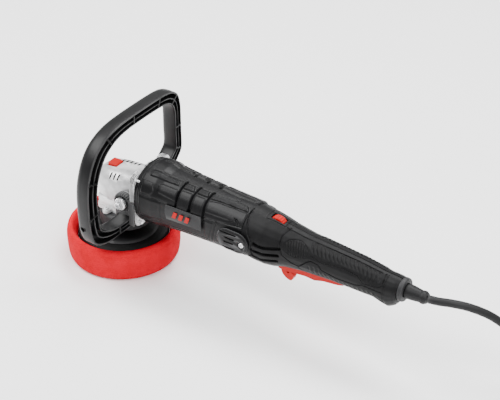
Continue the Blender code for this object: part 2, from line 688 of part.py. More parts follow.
def hook_lever():
    """Lock-off lever hanging in the front of the paddle."""
    outline = [
        (HOOK_X + 5, 92), (HOOK_X - 4, 92.6), (HOOK_X - 14, 90.5), (HOOK_X - 16.5, 84), (HOOK_X - 16.2, 78),
        (HOOK_X - 15.2, 73), (HOOK_X - 13.2, 69), (HOOK_X - 9, 65.2), (HOOK_X - 4, 63.2), (HOOK_X - 0.4, 63.9),
        (HOOK_X + 1.8, 66.8), (HOOK_X + 2.9, 71), (HOOK_X + 1, 74.2), (HOOK_X - 1.1, 75.8), (HOOK_X - 0.6, 78.5),
        (HOOK_X + 3, 80.5),
    ]
    bm = bmesh.new()
    prism(bm, outline, lambda a, b, t: (a, t, b), -3.4, 3.4)
    ob = finish("lock_off_lever", bm, RED, 0.4)
    hole = turned_part("lever_hole", rod(1.9, -8, 8, 0.2), axis_y(HOOK_X - 5.7, 0, 74.9), BLACK, seg=16, hidden=True)
    boolean(ob, hole)
    set_origin(ob, HOOK_X, 0, HOOK_Z)


def switch_parts():
    box_part("switch_module", 272, 312, -10, 10, 106, 128, BLACK, 0.8)
    box_part("control_board", 322, 352, -11, 11, 105, 122, BOARD_GREEN, 0.6)
    wheel = []
    for k in range(24):
        a = 2 * math.pi * k / 24
        r = DIAL_R - (0.7 if k % 2 else 0.0)
        wheel.append((DIAL_X + r * math.cos(a), DIAL_Z + r * math.sin(a)))
    bm = bmesh.new()
    prism(bm, wheel, lambda a, b, t: (a, t, b), -4.6, 4.6)
    ob = finish("speed_dial", bm, RED, 0.4)
    set_origin(ob, DIAL_X, 0, DIAL_Z)


def cord_exit():
    x = GRIP_X1 + GAP
    collar = [(8.6, x), (14.6, x), (15.2, x + 0.8), (14.8, x + 5.4), (13.6, x + 6.4), (8.6, x + 6.4)]
    turned_part("collar_ring", collar, axis_x(0, 0, EXIT_Z), GREY, 0.45, seg=28)
    turned_part("strain_relief", boot_profile(), axis_x(0, 0, EXIT_Z), RUBBER, 0.6, seg=20)


def boot_profile():
    x = GRIP_X1
    return [
        (0, x - 8), (10.4, x - 8), (10.4, x - 3), (8.2, x - 3), (8.2, x + 7.4), (9.4, x + 8), (8.8, x + 16),
        (7.4, x + 27), (8.2, x + 28), (8.2, x + 32), (6.4, x + 34.4), (0, x + 34.4),
    ]


def smooth_route(points, step):
    """Evenly spaced points on a smooth curve through the route points (mm)."""
    pts = [Vector(p) for p in points]
    pts = [pts[0] * 2 - pts[1]] + pts + [pts[-1] * 2 - pts[-2]]
    dense = []
    for i in range(1, len(pts) - 2):
        a, b, c, d = pts[i - 1:i + 3]
        for k in range(24):
            t = k / 24
            dense.append(0.5 * (2 * b + (c - a) * t + (2 * a - 5 * b + 4 * c - d) * t * t
                                + (3 * b - a - 3 * c + d) * t ** 3))
    dense.append(pts[-2])
    total = sum((q - p).length for p, q in zip(dense, dense[1:]))
    count = max(2, round(total / step))
    out, walked, target = [dense[0]], 0.0, total / count
    for p, q in zip(dense, dense[1:]):
        seg = (q - p).length
        while walked + seg >= target - 1e-9 and len(out) <= count - 1:
            out.append(p.lerp(q, (target - walked) / seg))
            target += total / count
        walked += seg
    out.append(dense[-1])
    return out


def cord():
    curve = bpy.data.curves.new("cord", "CURVE")
    curve.dimensions = "3D"
    curve.bevel_depth = CORD_R * MM
    curve.bevel_resolution = 2
    curve.use_fill_caps = True
    line = curve.splines.new("POLY")
    pts = smooth_route(CORD_ROUTE, 2.2 * 2 * CORD_R)
    line.points.add(len(pts) - 1)
    for slot, p in zip(line.points, pts):
        slot.co = (*(p * MM), 1.0)
    line.use_smooth = True
    ob = bpy.data.objects.new("cord", curve)
    bpy.context.scene.collection.objects.link(ob)
    curve.materials.append(material("cord_mat", RUBBER, 0.6))


def coil_centre():
    """The tube's end runs on to touch the outer turn; the coil lies on its left."""
    e, f = Vector(CORD_ROUTE[-1]), Vector(CORD_ROUTE[-2])
    d = Vector((e.x - f.x, e.y - f.y, 0)).normalized()
    left = Vector((-d.y, d.x, 0))
    outer = COIL_MID_R + COIL_HALF - CORD_R
    at = e + d * CORD_END_RUN + left * outer
    return at.x, at.y


def cord_end():
    cx, cy = coil_centre()
    r0, r1, z0, z1 = COIL_MID_R - COIL_HALF, COIL_MID_R + COIL_HALF, FLOOR_GAP, FLOOR_GAP + COIL_H
    c = 3.0
    ring = [
        (r0 + c, z0), (r1 - c, z0), (r1, z0 + c), (r1, z1 - c), (r1 - c, z1), (r0 + c, z1), (r0, z1 - c), (r0, z0 + c),
    ]
    turned_part("cord_coil", ring, axis_z(cx, cy), RUBBER, 0.6, seg=32)
    power_plug(cx - CORD_END_RUN, cy + COIL_MID_R + COIL_HALF - CORD_R)


def power_plug(x, y):
    """Plug lying beside the coil, its pins pointing back along -X."""
    z = FLOOR_GAP + 15.5
    bm = bmesh.new()
    loft(bm, [
        superellipse(x, y, z, 5.4, 5.4, 2.0, 20), superellipse(x - 22, y, z, 8.0, 8.0, 2.2, 20),
        superellipse(x - 24, y, z, 14, 12, 3.0, 20), superellipse(x - 44, y, z, 19, 15.5, 3.5, 20),
        superellipse(x - 52, y, z, 19, 15.5, 3.5, 20),
    ])
    finish("power_plug", bm, RUBBER, 0.5)
    for tag, side in (("left", -1), ("right", 1)):
        pin = rod(2.4, x - 71, x - 52.3, 0.8)
        turned_part("plug_pin_" + tag, pin, axis_x(0, y + side * 9.5, z), STEEL, 0.3, 1.0, seg=12)


# ---------------------------------------------------------------- bow handle

BAND_OUTER = (
    (-30, 77), (-50, 67), (-64, 61), (-78, 61), (-87, 68), (-92.5, 84), (-94.5, 104), (-95, 128), (-93.5, 148),
    (-89, 166), (-81, 183), (-70, 196), (-57, 204.5), (-42, 210), (-24, 213), (0, 214), (30, 214), (55, 213.5),
    (74, 212), (86, 208), (94, 201), (98, 190), (99.5, 175), (99.5, 146), (99.5, 119), (94, 109), (80, 96), (60, 82),
    (30, 75),
)
BAND_INNER = (
    (-30, 90), (-50, 80), (-61, 78), (-68, 79.5), (-71.5, 84), (-73.2, 94), (-74.4, 108), (-75, 128), (-73.5, 144),
    (-69.5, 157), (-63, 170), (-54.5, 181), (-44.5, 188.5), (-33, 194), (-18, 197.5), (0, 199), (30, 199),
    (50, 198.5), (64, 197.5), (74, 194.5), (81, 189.5), (85, 182), (86.5, 172), (86.5, 146), (86.5, 124), (80, 115.5),
    (68, 106), (52, 96), (30, 88),
)
# Cross-section of the bar: (depth from the rear face, share of the way from the outer to the inner line).
BAR_SECTION = (
    (0.0, 0.06), (1.2, 0.0), (13.0, 0.0), (18.5, 0.07), (22.2, 0.24), (HANDLE_DEPTH, 0.5), (23.0, 0.8), (20.5, 0.95),
    (16.0, 1.0), (1.2, 1.0), (0.0, 0.94),
)


def arm_shift(y):
    """The lower arms run backwards towards the bolts on the head."""
    reach = max(0.0, 78.0 - abs(y))
    return min(1.0, reach / 40.0) * (BOLT_X + LUG_R - 0.8 - HANDLE_X1)


def bow_handle():
    bm = bmesh.new()
    rings = []
    for (oy, oz), (iy, iz) in zip(BAND_OUTER, BAND_INNER):
        shift = arm_shift((oy + iy) / 2) if (oz + iz) / 2 < BOLT_Z + 6 else 0.0
        ring = []
        for depth, share in BAR_SECTION:
            ring.append((HANDLE_X1 + shift - depth, oy + (iy - oy) * share, oz + (iz - oz) * share))
        rings.append(ring)
    loft(bm, rings)
    handle = finish("bow_handle", bm, BLACK, 0.4)
    for tag, sign in (("left", -1), ("right", 1)):
        lug = lug_solid("handle_lug_" + tag, sign)
        boolean(handle, lug, "UNION")
        hole = turned_part("lug_hole_" + tag, rod(4.4, 20, 60, 0.2), axis_y(BOLT_X, 0, BOLT_Z, sign), BLACK,
                           seg=14, hidden=True)
        boolean(handle, hole)
        bolt(tag, sign)


def lug_solid(name, sign):
    bm = bmesh.new()
    outline = [(BOLT_X + LUG_R, 74.5), (BOLT_X + LUG_R, BOLT_Z)]
    for k in range(1, 12):
        a = math.pi * k / 12
        outline.append((BOLT_X + LUG_R * math.cos(a), BOLT_Z + LUG_R * math.sin(a)))
    outline += [(BOLT_X - LUG_R, BOLT_Z), (BOLT_X - LUG_R, 74.5)]
    y0, y1 = LUG_IN, LUG_OUT
    prism(bm, outline, lambda a, b, t: (a, sign * t, b), y0, y1)
    return finish(name, bm, BLACK, 0.4, hidden=True)


def bolt(tag, sign):
    profile = [
        (0, BOLT_TIP), (3.9, BOLT_TIP), (3.9, LUG_OUT + GAP), (8.2, LUG_OUT + GAP), (8.2, LUG_OUT + 5.8),
        (7.4, LUG_OUT + 6.6),
        (5.2, LUG_OUT + 6.6), (5.2, LUG_OUT + 10.8), (4.6, LUG_OUT + 11.4), (0, LUG_OUT + 11.4),
    ]
    turned_part("handle_bolt_" + tag, profile, axis_y(BOLT_X, 0, BOLT_Z, sign), STEEL, 0.3, 1.0, seg=20)


def build():
    clear_scene()
    pad_foam()
    pad_layers()
    pad_spindle()
    eccentric()
    main_spindle()
    shroud()
    bearing_cover()
    gear_head()
    spindle_bearings()
    crown_gear()
    pinion_gear()
    lock_button()
    motor_housing()
    flange_screws()
    armature()
    brushes()
    badges()
    rear_grip()
    trigger()
    switch_parts()
    cord_exit()
    cord()
    cord_end()
    bow_handle()


build()
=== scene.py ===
"""Dual action polisher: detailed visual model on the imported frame."""
import math

import bmesh
import bpy
import numpy as np
from mathutils import Matrix, Vector
from mathutils.bvhtree import BVHTree


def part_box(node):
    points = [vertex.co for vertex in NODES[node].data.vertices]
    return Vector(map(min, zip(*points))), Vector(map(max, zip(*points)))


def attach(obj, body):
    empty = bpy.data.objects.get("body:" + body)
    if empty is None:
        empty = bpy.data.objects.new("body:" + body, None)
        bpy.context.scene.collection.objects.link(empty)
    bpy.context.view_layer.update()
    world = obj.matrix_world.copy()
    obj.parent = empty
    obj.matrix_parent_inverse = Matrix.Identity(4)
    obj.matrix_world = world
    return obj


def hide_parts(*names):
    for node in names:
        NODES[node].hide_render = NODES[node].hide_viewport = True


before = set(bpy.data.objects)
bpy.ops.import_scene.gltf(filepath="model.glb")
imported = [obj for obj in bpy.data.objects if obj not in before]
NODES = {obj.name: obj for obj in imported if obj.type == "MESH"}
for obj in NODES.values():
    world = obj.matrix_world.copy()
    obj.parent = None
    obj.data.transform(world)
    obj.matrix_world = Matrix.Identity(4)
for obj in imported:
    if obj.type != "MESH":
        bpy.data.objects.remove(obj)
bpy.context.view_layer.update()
MM = 0.001


# ---------------------------------------------------------------- camera, light, floor

CAMERA_ANGLES = (34.9, 34.07)       # azimuth and elevation in degrees
CAMERA_PLACE = (1.1271, -1.3243, 1.2486)
LENS, SENSOR = 115.2, 36.0          # mm


def make_camera():
    azimuth, elevation = (math.radians(angle) for angle in CAMERA_ANGLES)
    right = Vector((math.cos(azimuth), math.sin(azimuth), 0))
    back = Vector((
        math.sin(azimuth) * math.cos(elevation),
        -math.cos(azimuth) * math.cos(elevation),
        math.sin(elevation),
    ))
    up = back.cross(right)
    data = bpy.data.cameras.new("photo_camera")
    data.lens = LENS
    data.sensor_width = SENSOR
    data.clip_start = 0.05
    data.clip_end = 50
    camera = bpy.data.objects.new("photo_camera", data)
    rot = Matrix((right, up, back)).transposed().to_4x4()
    camera.matrix_world = Matrix.Translation(CAMERA_PLACE) @ rot
    bpy.context.scene.collection.objects.link(camera)
    bpy.context.scene.camera = camera


def area_light(name, place, target, size, power):
    data = bpy.data.lights.new(name, "AREA")
    data.shape = "RECTANGLE"
    data.size, data.size_y = size
    data.energy = power
    light = bpy.data.objects.new(name, data)
    light.location = place
    light.rotation_euler = (Vector(target) - Vector(place)).to_track_quat("-Z", "Y").to_euler()
    bpy.context.scene.collection.objects.link(light)


def make_studio():
    world = bpy.data.worlds.new("studio")
    world.use_nodes = True
    world.node_tree.nodes["Background"].inputs["Color"].default_value = (1, 1, 1, 1)
    world.node_tree.nodes["Background"].inputs["Strength"].default_value = 0.75
    bpy.context.scene.world = world
    aim = (0.15, 0.0, 0.1)
    area_light("key_softbox", (-1.0, -0.7, 2.0), aim, (1.8, 1.2), 85)
    area_light("top_strip", (0.3, 0.9, 2.0), aim, (2.2, 0.8), 80)
    area_light("rim_strip", (1.6, -0.6, 1.5), aim, (0.9, 1.2), 34)


# ---------------------------------------------------------------- materials

def node(tree, kind, **inputs):
    n = tree.nodes.new(kind)
    for key, value in inputs.items():
        n.inputs[key.replace("_", " ")].default_value = value
    return n


EDGE_LIGHT_FROM, EDGE_LIGHT_FULL = 0.53, 0.63    # pointiness at which an edge starts to lighten, and is fully lightened; the lighter edges stand for wear and for painted glints


def surface(name, dark, light, rough, metal=0.0, grain=0.6, bump=0.25, patch=22.0,
            edge_wear_and_glint=None, specular=0.5, sheen=0.0, stretch=(1, 1, 1), depth=0.2):
    """Procedural surface: cloudy colour, fine grain in bump and roughness, edges lightened by pointiness as
    wear and as a painted highlight.

    grain, patch and depth are in millimetres.
    """
    mat = bpy.data.materials.new(name)
    mat.use_nodes = True
    tree = mat.node_tree
    link = tree.links.new
    bsdf = tree.nodes["Principled BSDF"]
    bsdf.inputs["Metallic"].default_value = metal
    bsdf.inputs["Specular IOR Level"].default_value = specular
    bsdf.inputs["Sheen Weight"].default_value = sheen
    coords = tree.nodes.new("ShaderNodeTexCoord")
    mapping = tree.nodes.new("ShaderNodeMapping")
    mapping.inputs["Scale"].default_value = stretch
    link(coords.outputs["Object"], mapping.inputs["Vector"])
    cloud = node(tree, "ShaderNodeTexNoise", Scale=1000.0 / patch, Detail=3.0)
    fine = node(tree, "ShaderNodeTexNoise", Scale=1000.0 / grain, Detail=2.0)
    link(mapping.outputs["Vector"], cloud.inputs["Vector"])
    link(mapping.outputs["Vector"], fine.inputs["Vector"])
    tint = tree.nodes.new("ShaderNodeMix")
    tint.data_type = "RGBA"
    tint.inputs["A"].default_value = (*dark, 1)
    tint.inputs["B"].default_value = (*light, 1)
    spread = node(tree, "ShaderNodeMapRange")
    spread.inputs["From Min"].default_value = 0.3
    spread.inputs["From Max"].default_value = 0.7
    link(cloud.outputs["Fac"], spread.inputs["Value"])
    link(spread.outputs["Result"], tint.inputs["Factor"])
    colour = tint.outputs["Result"]
    # Edges lightened by pointiness: partly real wear, partly a painted highlight standing in for glints along
    # edges.
    if edge_wear_and_glint:
        geometry = tree.nodes.new("ShaderNodeNewGeometry")
        edge = node(tree, "ShaderNodeMapRange")
        edge.inputs["From Min"].default_value = EDGE_LIGHT_FROM
        edge.inputs["From Max"].default_value = EDGE_LIGHT_FULL
        link(geometry.outputs["Pointiness"], edge.inputs["Value"])
        edge_wear_and_glint_mix = tree.nodes.new("ShaderNodeMix")
        edge_wear_and_glint_mix.data_type = "RGBA"
        edge_wear_and_glint_mix.inputs["B"].default_value = (*edge_wear_and_glint, 1)
        link(edge.outputs["Result"], edge_wear_and_glint_mix.inputs["Factor"])
        link(colour, edge_wear_and_glint_mix.inputs["A"])
        colour = edge_wear_and_glint_mix.outputs["Result"]
    link(colour, bsdf.inputs["Base Color"])
    gloss = node(tree, "ShaderNodeMapRange")
    gloss.inputs["To Min"].default_value = rough[0]
    gloss.inputs["To Max"].default_value = rough[1]
    link(fine.outputs["Fac"], gloss.inputs["Value"])
    link(gloss.outputs["Result"], bsdf.inputs["Roughness"])
    relief = node(tree, "ShaderNodeBump", Strength=bump, Distance=depth * MM)
    link(fine.outputs["Fac"], relief.inputs["Height"])
    link(relief.outputs["Normal"], bsdf.inputs["Normal"])
    return mat


def foam_surface():
    """Open-cell foam: round pores about 1 mm across, with painted shade in the pores."""
    mat = surface("red_foam", (0.58, 0.0008, 0.010), (0.68, 0.002, 0.018), (0.85, 0.95),
                  grain=0.9, bump=0.45, patch=14, specular=0.08)
    tree = mat.node_tree
    link = tree.links.new
    bsdf = tree.nodes["Principled BSDF"]
    coords = next(n for n in tree.nodes if n.bl_idname == "ShaderNodeTexCoord")
    cells = tree.nodes.new("ShaderNodeTexVoronoi")
    cells.inputs["Scale"].default_value = 850
    link(coords.outputs["Object"], cells.inputs["Vector"])
    pores = tree.nodes.new("ShaderNodeBump")
    pores.invert = True
    pores.inputs["Strength"].default_value = 0.45
    pores.inputs["Distance"].default_value = 0.35 * MM
    link(cells.outputs["Distance"], pores.inputs["Height"])
    before = bsdf.inputs["Normal"].links[0].from_socket
    link(before, pores.inputs["Normal"])
    link(pores.outputs["Normal"], bsdf.inputs["Normal"])
    # Painted shade in the pores: the colour is multiplied down to 0.72 by the same cell distance that sinks the
    # pores in the bump.
    shade = tree.nodes.new("ShaderNodeMapRange")
    shade.inputs["From Max"].default_value = 0.7
    shade.inputs["To Min"].default_value = 1.0
    shade.inputs["To Max"].default_value = 0.72
    link(cells.outputs["Distance"], shade.inputs["Value"])
    colour = bsdf.inputs["Base Color"].links[0].from_socket
    pore_shade_multiply = tree.nodes.new("ShaderNodeMix")
    pore_shade_multiply.data_type = "RGBA"
    pore_shade_multiply.blend_type = "MULTIPLY"
    pore_shade_multiply.inputs["Factor"].default_value = 1.0
    grey = tree.nodes.new("ShaderNodeCombineColor")
    for socket in ("Red", "Green", "Blue"):
        link(shade.outputs["Result"], grey.inputs[socket])
    link(colour, pore_shade_multiply.inputs["A"])
    link(grey.outputs["Color"], pore_shade_multiply.inputs["B"])
    link(pore_shade_multiply.outputs["Result"], bsdf.inputs["Base Color"])
    return mat


# Lighter edge colour of the body: edge wear plus a painted glint along the panels' edges and notches.
GREY_EDGE_WEAR_AND_GLINT = (0.055, 0.055, 0.057)
M = {
    "body": surface("body_nylon", (0.002, 0.002, 0.0023), (0.0045, 0.0045, 0.005), (0.32, 0.46),
                    grain=0.5, bump=0.2, edge_wear_and_glint=GREY_EDGE_WEAR_AND_GLINT, specular=0.17),
    "handle": surface("handle_nylon", (0.0025, 0.0025, 0.0028), (0.006, 0.006, 0.0064), (0.32, 0.44),
                      grain=0.55, bump=0.2, edge_wear_and_glint=(0.13, 0.13, 0.132), specular=0.2),
    "grip": surface("grip_overmould", (0.002, 0.002, 0.0022), (0.004, 0.004, 0.0044), (0.42, 0.58),
                    grain=0.45, bump=0.35, edge_wear_and_glint=(0.02, 0.02, 0.021), patch=9, specular=0.15),
    "grey": surface("collar_grey", (0.010, 0.010, 0.011), (0.018, 0.018, 0.019), (0.45, 0.6),
                    grain=0.5, bump=0.2, edge_wear_and_glint=(0.05, 0.05, 0.052), specular=0.25),
    "badge": surface("badge_plate", (0.011, 0.011, 0.012), (0.017, 0.017, 0.018), (0.4, 0.52),
                     grain=0.35, bump=0.15, edge_wear_and_glint=(0.05, 0.05, 0.05), specular=0.25),
    "red": surface("red_moulding", (0.25, 0.0006, 0.0004), (0.33, 0.001, 0.0007), (0.34, 0.46),
                   grain=0.5, bump=0.12, edge_wear_and_glint=(0.5, 0.008, 0.005), specular=0.14),
    "cast": surface("cast_aluminium", (0.40, 0.40, 0.405), (0.56, 0.56, 0.565), (0.34, 0.52),
                    metal=0.6, grain=0.7, bump=0.45, patch=8, edge_wear_and_glint=(0.85, 0.85, 0.85), depth=0.3),
    "steel": surface("zinc_steel", (0.62, 0.63, 0.64), (0.78, 0.78, 0.79), (0.2, 0.36),
                     metal=0.9, grain=0.3, bump=0.1, patch=5, edge_wear_and_glint=(0.95, 0.95, 0.95)),
    # Painted shade: flat near-black colour laid on the inner faces of slots, grooves and holes, where shade
    # falls.
    "shadow": surface("recess_painted_shade", (0.006, 0.006, 0.006), (0.012, 0.012, 0.012), (0.7, 0.85),
                      specular=0.1),
    "gear": surface("gear_steel", (0.28, 0.28, 0.3), (0.38, 0.38, 0.4), (0.25, 0.4),
                    metal=1.0, grain=0.3, bump=0.1, edge_wear_and_glint=(0.6, 0.6, 0.62)),
    "copper": surface("copper_winding", (0.5, 0.2, 0.09), (0.66, 0.3, 0.14), (0.3, 0.5),
                      metal=1.0, grain=1.2, bump=0.5, stretch=(0.2, 1, 1)),
    "carbon": surface("pressed_carbon", (0.02, 0.02, 0.021), (0.05, 0.05, 0.052), (0.5, 0.7),
                      grain=0.4, bump=0.3),
    "laminate": surface("steel_laminate", (0.16, 0.16, 0.17), (0.26, 0.26, 0.27), (0.4, 0.6),
                        metal=0.8, grain=0.5, bump=0.6, stretch=(4, 0.3, 0.3)),
    "board": surface("circuit_board", (0.01, 0.06, 0.025), (0.02, 0.11, 0.05), (0.3, 0.5),
                     grain=1.5, bump=0.4),
    "cloth": surface("loop_cloth", (0.42, 0.42, 0.43), (0.6, 0.6, 0.6), (0.85, 0.95),
                     grain=0.5, bump=0.9, specular=0.2, sheen=0.4),
    "rubber": surface("cord_rubber", (0.0035, 0.0035, 0.004), (0.007, 0.007, 0.0075), (0.44, 0.6),
                      grain=0.4, bump=0.3, edge_wear_and_glint=(0.03, 0.03, 0.031), specular=0.22),
    "cushion": surface("backing_rubber", (0.002, 0.002, 0.002), (0.004, 0.004, 0.004), (0.6, 0.75),
                       grain=0.8, bump=0.35, edge_wear_and_glint=(0.012, 0.012, 0.012), specular=0.15),
    "foam": foam_surface(),
}


# ---------------------------------------------------------------- mesh tools

def mesh_object(name, verts, faces, mat, body, sharp=35.0):
    mesh = bpy.data.meshes.new(name)
    mesh.from_pydata([tuple(v) for v in verts], [], [tuple(f) for f in faces])
    mesh.validate()
    return place_mesh(name, mesh, mat, body, sharp)


def place_mesh(name, mesh, mat, body, sharp=35.0):
    mesh.materials.clear()
    mesh.materials.append(mat)
    mesh.shade_smooth()
    if sharp:
        mesh.set_sharp_from_angle(angle=math.radians(sharp))
    ob = bpy.data.objects.new(name, mesh)
    bpy.context.scene.collection.objects.link(ob)
    if body:
        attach(ob, body)
    return ob


def bm_object(name, bm, mat, body, sharp=35.0):
    bmesh.ops.recalc_face_normals(bm, faces=bm.faces)
    mesh = bpy.data.meshes.new(name)
    bm.to_mesh(mesh)
    bm.free()
    return place_mesh(name, mesh, mat, body, sharp)


def bevel(ob, width, segments=2, angle=32):
    mod = ob.modifiers.new("edge", "BEVEL")
    mod.width = width * MM
    mod.segments = segments
    mod.limit_method = "ANGLE"
    mod.angle_limit = math.radians(angle)
    mod.use_clamp_overlap = True
    mod.harden_normals = False


def finish_node(name, mat):
    """A CAD node that keeps its own shape gets its finished material."""
    ob = NODES[name]
    if ob.material_slots:
        for slot in ob.material_slots:
            slot.material = mat
    else:
        ob.data.materials.append(mat)
    return ob


def copy_of(node_name, name, mat, body, sharp=35.0):
    """A new piece that starts from a CAD node's mesh and stands for it."""
    source = NODES[node_name]
    bm = bmesh.new()
    bm.from_mesh(source.data)
    bm.transform(source.matrix_world)
    bmesh.ops.remove_doubles(bm, verts=bm.verts, dist=0.02 * MM)
    ob = bm_object(name, bm, mat, body, sharp)
    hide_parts(node_name)
    return ob


def baked(ob, sharp=35.0):
    """Applies the modifiers to the piece's mesh."""
    graph = bpy.context.evaluated_depsgraph_get()
    mesh = bpy.data.meshes.new_from_object(ob.evaluated_get(graph))
    ob.modifiers.clear()
    ob.data = mesh
    mesh.shade_smooth()
    mesh.set_sharp_from_angle(angle=math.radians(sharp))


def cut(ob, bm, solver="EXACT", sharp=35.0):
    """Cuts the solids in bm out of the piece."""
    bmesh.ops.recalc_face_normals(bm, faces=bm.faces)
    mesh = bpy.data.meshes.new("cutter")
    bm.to_mesh(mesh)
    bm.free()
    cutter = bpy.data.objects.new("cutter", mesh)
    bpy.context.scene.collection.objects.link(cutter)
    mod = ob.modifiers.new("cut", "BOOLEAN")
    mod.operation = "DIFFERENCE"
    mod.solver = solver
    mod.object = cutter
    baked(ob, sharp)
    bpy.data.objects.remove(cutter, do_unlink=True)


def add_prism(bm, outline, place, low, high):
    """Closed prism: outline points (a, b) put at place(a, b, t) for t at low and at high."""
    bottom = [bm.verts.new(place(a, b, low)) for a, b in outline]
    top = [bm.verts.new(place(a, b, high)) for a, b in outline]
    n = len(outline)
    bm.faces.new(bottom[::-1])
    bm.faces.new(top)
    for i in range(n):
        j = (i + 1) % n
        bm.faces.new((bottom[i], bottom[j], top[j], top[i]))


def add_box(bm, low, high):
    (x0, y0, z0), (x1, y1, z1) = low, high
    add_prism(bm, [(x0, y0), (x1, y0), (x1, y1), (x0, y1)], lambda a, b, t: (a * MM, b * MM, t * MM), z0, z1)


def capsule(a, b, r, steps=5):
    """Outline of a slot of half-width r between the points a and b."""
    ax, ay = a
    bx, by = b
    heading = math.atan2(by - ay, bx - ax)
    points = []
    for k in range(steps + 1):
        t = heading + math.pi / 2 + math.pi * k / steps
        points.append((ax + r * math.cos(t), ay + r * math.sin(t)))
    for k in range(steps + 1):
        t = heading - math.pi / 2 + math.pi * k / steps
        points.append((bx + r * math.cos(t), by + r * math.sin(t)))
    return points


def add_lathe(bm, profile, place, seg, shape=None):
    """Closed lathe: profile points (r, t); place(a, b, t) puts them; shape(angle, r, t) scales r."""
    rows = []
    for r, t in profile:
        if r == 0:
            rows.append([bm.verts.new(place(0, 0, t))])
            continue
        ring = []
        for k in range(seg):
            angle = 2 * math.pi * k / seg
            q = r * (shape(angle, r, t) if shape else 1.0)
            ring.append(bm.verts.new(place(q * math.cos(angle), q * math.sin(angle), t)))
        rows.append(ring)
    for low, high in zip(rows, rows[1:]):
        for k in range(seg):
            j = (k + 1) % seg
            if len(low) == 1 and len(high) == 1:
                continue
            if len(low) == 1:
                bm.faces.new((low[0], high[j], high[k]))
            elif len(high) == 1:
                bm.faces.new((low[k], low[j], high[0]))
            else:
                bm.faces.new((low[k], low[j], high[j], high[k]))
    if len(rows[0]) > 1 and len(rows[-1]) > 1:
        for k in range(seg):
            j = (k + 1) % seg
            bm.faces.new((rows[-1][k], rows[-1][j], rows[0][j], rows[0][k]))


def along_x(y, z):
    return lambda a, b, t: (t * MM, (y + a) * MM, (z + b) * MM)


def along_y(x, z, sign=1):
    return lambda a, b, t: ((x + a) * MM, sign * t * MM, (z + b) * MM)


def along_z(x, y):
    return lambda a, b, t: ((x + a) * MM, (y + b) * MM, t * MM)


def lathe(name, profile, place, mat, body, seg=64, shape=None, sharp=35.0):
    bm = bmesh.new()
    add_lathe(bm, profile, place, seg, shape)
    return bm_object(name, bm, mat, body, sharp)


def smooth_profile(points, per=5):
    """Rounded version of an open profile, through its points."""
    pts = [Vector((*p, 0)) for p in points]
    pts = [pts[0]] + pts + [pts[-1]]
    out = []
    for i in range(1, len(pts) - 2):
        a, b, c, d = pts[i - 1:i + 3]
        for k in range(per):
            t = k / per
            p = 0.5 * (2 * b + (c - a) * t + (2 * a - 5 * b + 4 * c - d) * t * t
                       + (3 * b - a - 3 * c + d) * t ** 3)
            out.append((max(p.x, 0.0), p.y))
    out.append(points[-1])
    return out


# ---------------------------------------------------------------- relief skins

def node_tree_of(*names):
    """Search tree of the named CAD nodes' surfaces."""
    verts, faces = [], []
    for name in names:
        ob = NODES[name]
        base = len(verts)
        verts += [ob.matrix_world @ v.co for v in ob.data.vertices]
        faces += [tuple(i + base for i in p.vertices) for p in ob.data.polygons]
    return BVHTree.FromPolygons(verts, faces)


def spread(a, n, axis, wrap, pick):
    """Combines each value of the grid with its n neighbours either way along the axis."""
    pad = [(0, 0), (0, 0)]
    pad[axis] = (n, n)
    wide = np.pad(a, pad, mode="wrap" if wrap else "edge")
    size = a.shape[axis]
    out = None
    for k in range(2 * n + 1):
        part = np.take(wide, range(k, k + size), axis=axis)
        out = part if out is None else pick(out, part)
    return out


def closing(a, n, axis, wrap):
    """Fills dips up to 2 n steps wide."""
    return spread(spread(a, n, axis, wrap, np.maximum), n, axis, wrap, np.minimum)


def blurred(a, n, axis, wrap):
    return spread(a, n, axis, wrap, np.add) / (2 * n + 1)


def smoothstep(t):
    t = np.clip(t, 0, 1)
    return t * t * (3 - 2 * t)


def line_distance(px, py, points):
    best = np.full(px.shape, 1e9)
    for (ax, ay), (bx, by) in zip(points, points[1:]):
        dx, dy = bx - ax, by - ay
        t = np.clip(((px - ax) * dx + (py - ay) * dy) / (dx * dx + dy * dy + 1e-12), 0, 1)
        best = np.minimum(best, np.hypot(px - ax - t * dx, py - ay - t * dy))
    return best


def inside(px, py, polygon):
    """Distance inside the polygon, negative outside."""
    hit = np.zeros(px.shape, bool)
    n = len(polygon)
    for i in range(n):
        ax, ay = polygon[i]
        bx, by = polygon[(i + 1) % n]
        if ay == by:
            continue
        cross = (ay > py) != (by > py)
        hit ^= cross & (px < (bx - ax) * (py - ay) / (by - ay) + ax)
    d = line_distance(px, py, list(polygon) + [polygon[0]])
    return np.where(hit, d, -d)


def panel(px, py, polygon, height, edge):
    """Raised field with its slope inside the polygon's outline."""
    return height * smoothstep(inside(px, py, polygon) / edge + 0.3)


def groove(px, py, points, width, depth):
    """Sunk line along the points."""
    return -depth * smoothstep((width / 2 - line_distance(px, py, points)) / 0.5 + 0.5)


RAY_REACH = 110.0     # mm, beyond the surface of either body


def skin_grid(tree, xs, centre_z, count):
    """Radius of the CAD surface about the body's long axis, in mm."""
    radius = np.zeros((len(xs), count))
    for i, x in enumerate(xs):
        centre = Vector((x * MM, 0, centre_z(x) * MM))
        for j in range(count):
            angle = 2 * math.pi * j / count
            out = Vector((0, math.cos(angle), math.sin(angle)))
            hit = tree.ray_cast(centre + out * RAY_REACH * MM, -out, RAY_REACH * MM)
            if hit[0] is not None:
                radius[i, j] = (hit[0] - centre).length / MM
    return radius


def skin_points(xs, centre_z, radius):
    """Places of the grid's points, as arrays of x, y and z in mm."""
    count = radius.shape[1]
    angles = 2 * np.pi * np.arange(count) / count
    centres = np.array([centre_z(x) for x in xs])[:, None]
    x = np.repeat(np.array(xs)[:, None], count, axis=1)
    return x, radius * np.cos(angles), centres + radius * np.sin(angles)


